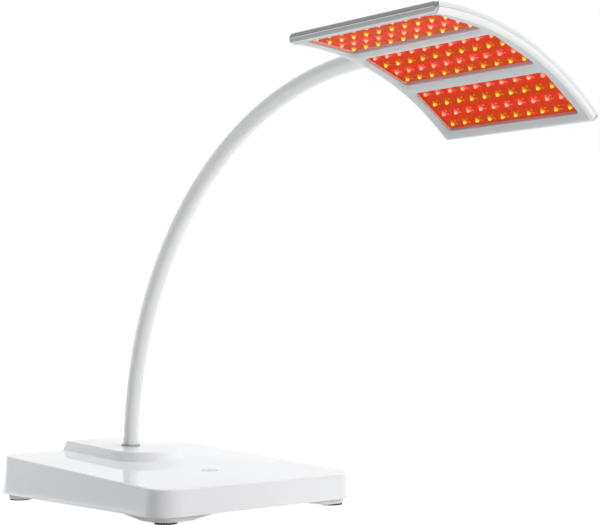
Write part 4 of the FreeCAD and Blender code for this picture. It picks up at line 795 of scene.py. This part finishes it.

# Light shields: a thin wall round each window, from behind the frame's skin to the board. Along the
# sides its purple grey is painted shade, and at both ends it is white with a faint pink of painted light.
BEZEL_BACK = 0.27705
SHIELD_GAP = 0.00005
SHIELD_BEYOND = 0.002
SHIELD_WALL = 0.0012
SHIELD_END = 0.079
SHIELD_GRAIN_MM = 0.8
shield_finish, tree, output = new_material("shield_abs_painted_shade_sides")
place = add_node(tree, "ShaderNodeTexCoord")
parts = add_node(tree, "ShaderNodeSeparateXYZ", {0: place.outputs["Object"]})
beside = add_node(tree, "ShaderNodeMath", {0: parts.outputs[1], 1: arc_centre.y}, operation="SUBTRACT")
reach = add_node(tree, "ShaderNodeMath", {0: beside.outputs[0]}, operation="ABSOLUTE")
# The sides' purple grey is painted shade, and the ends' faint pink white is painted light.
painted_lit_end = add_node(tree, "ShaderNodeMath", {0: reach.outputs[0], 1: SHIELD_END}, operation="GREATER_THAN")
tone = add_node(tree, "ShaderNodeMix", {
    0: painted_lit_end.outputs[0], 6: colour("#A7A3B4"), 7: colour("#F6EFEE")}, data_type="RGBA")
grain = add_node(tree, "ShaderNodeTexNoise", {
    "Vector": place.outputs["Object"], "Scale": 1000.0 / SHIELD_GRAIN_MM})
relief = add_node(tree, "ShaderNodeBump", {
    "Height": grain.outputs["Fac"], "Strength": 1.0, "Distance": 0.006 / 1000.0})
shader = add_node(tree, "ShaderNodeBsdfPrincipled", {
    "Base Color": tone.outputs[2], "Roughness": 0.5, "Normal": relief.outputs[0]})
tree.links.new(shader.outputs[0], output.inputs["Surface"])
for name, angle in WINDOWS.items():
    bm = bmesh.new()
    sheet = window_outline(bm, SHIELD_GAP, SHIELD_BEYOND, BEZEL_BACK)
    edges = sheet.edges[:]
    bmesh.ops.delete(bm, geom=[sheet], context="FACES_ONLY")
    pulled(bm, edges, (0.0, 0.0, BOARD_RADIUS - BEZEL_BACK - SHIELD_GAP))
    bmesh.ops.recalc_face_normals(bm, faces=bm.faces)
    bmesh.ops.solidify(bm, geom=bm.faces[:], thickness=-SHIELD_WALL)
    bmesh.ops.recalc_face_normals(bm, faces=bm.faces)
    bmesh.ops.transform(bm, verts=bm.verts, matrix=window_frame(angle))
    new_piece("light_shield_" + name, bm, shield_finish, "head")

# Windows: clear acrylic sheets let into the frame. Their surface gives back very little, so the
# light behind stays deep red from low down.
SHEET_LOW = 0.27568
SHEET_THICK = 0.0006
SHEET_GAP = 0.0001
SMEAR_MM = 25.0
SMEAR_ROUGHNESS = 0.004
clear_acrylic, tree, output = new_material("clear_acrylic")
place = add_node(tree, "ShaderNodeTexCoord")
smears = add_node(tree, "ShaderNodeTexNoise", {
    "Vector": place.outputs["Object"], "Scale": 1000.0 / SMEAR_MM})
haze = add_node(tree, "ShaderNodeMapRange", {
    "Value": smears.outputs["Fac"], "To Min": 0.0, "To Max": SMEAR_ROUGHNESS})
shader = add_node(tree, "ShaderNodeBsdfPrincipled", {
    "Base Color": colour("#FFFAF9"), "Roughness": haze.outputs[0], "IOR": 1.015,
    "Transmission Weight": 1.0})
tree.links.new(shader.outputs[0], output.inputs["Surface"])
for name, angle in WINDOWS.items():
    bm = bmesh.new()
    sheet = window_outline(bm, -SHEET_GAP, -SHEET_GAP, SHEET_LOW)
    grown = bmesh.ops.extrude_face_region(bm, geom=[sheet])["geom"]
    bmesh.ops.translate(bm, verts=[g for g in grown if isinstance(g, bmesh.types.BMVert)],
                        vec=(0.0, 0.0, SHEET_THICK))
    bmesh.ops.recalc_face_normals(bm, faces=bm.faces)
    bmesh.ops.transform(bm, verts=bm.verts, matrix=window_frame(angle))
    piece = new_piece("window_sheet_" + name, bm, clear_acrylic, "head")
    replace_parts(piece, "window_lens_" + name)
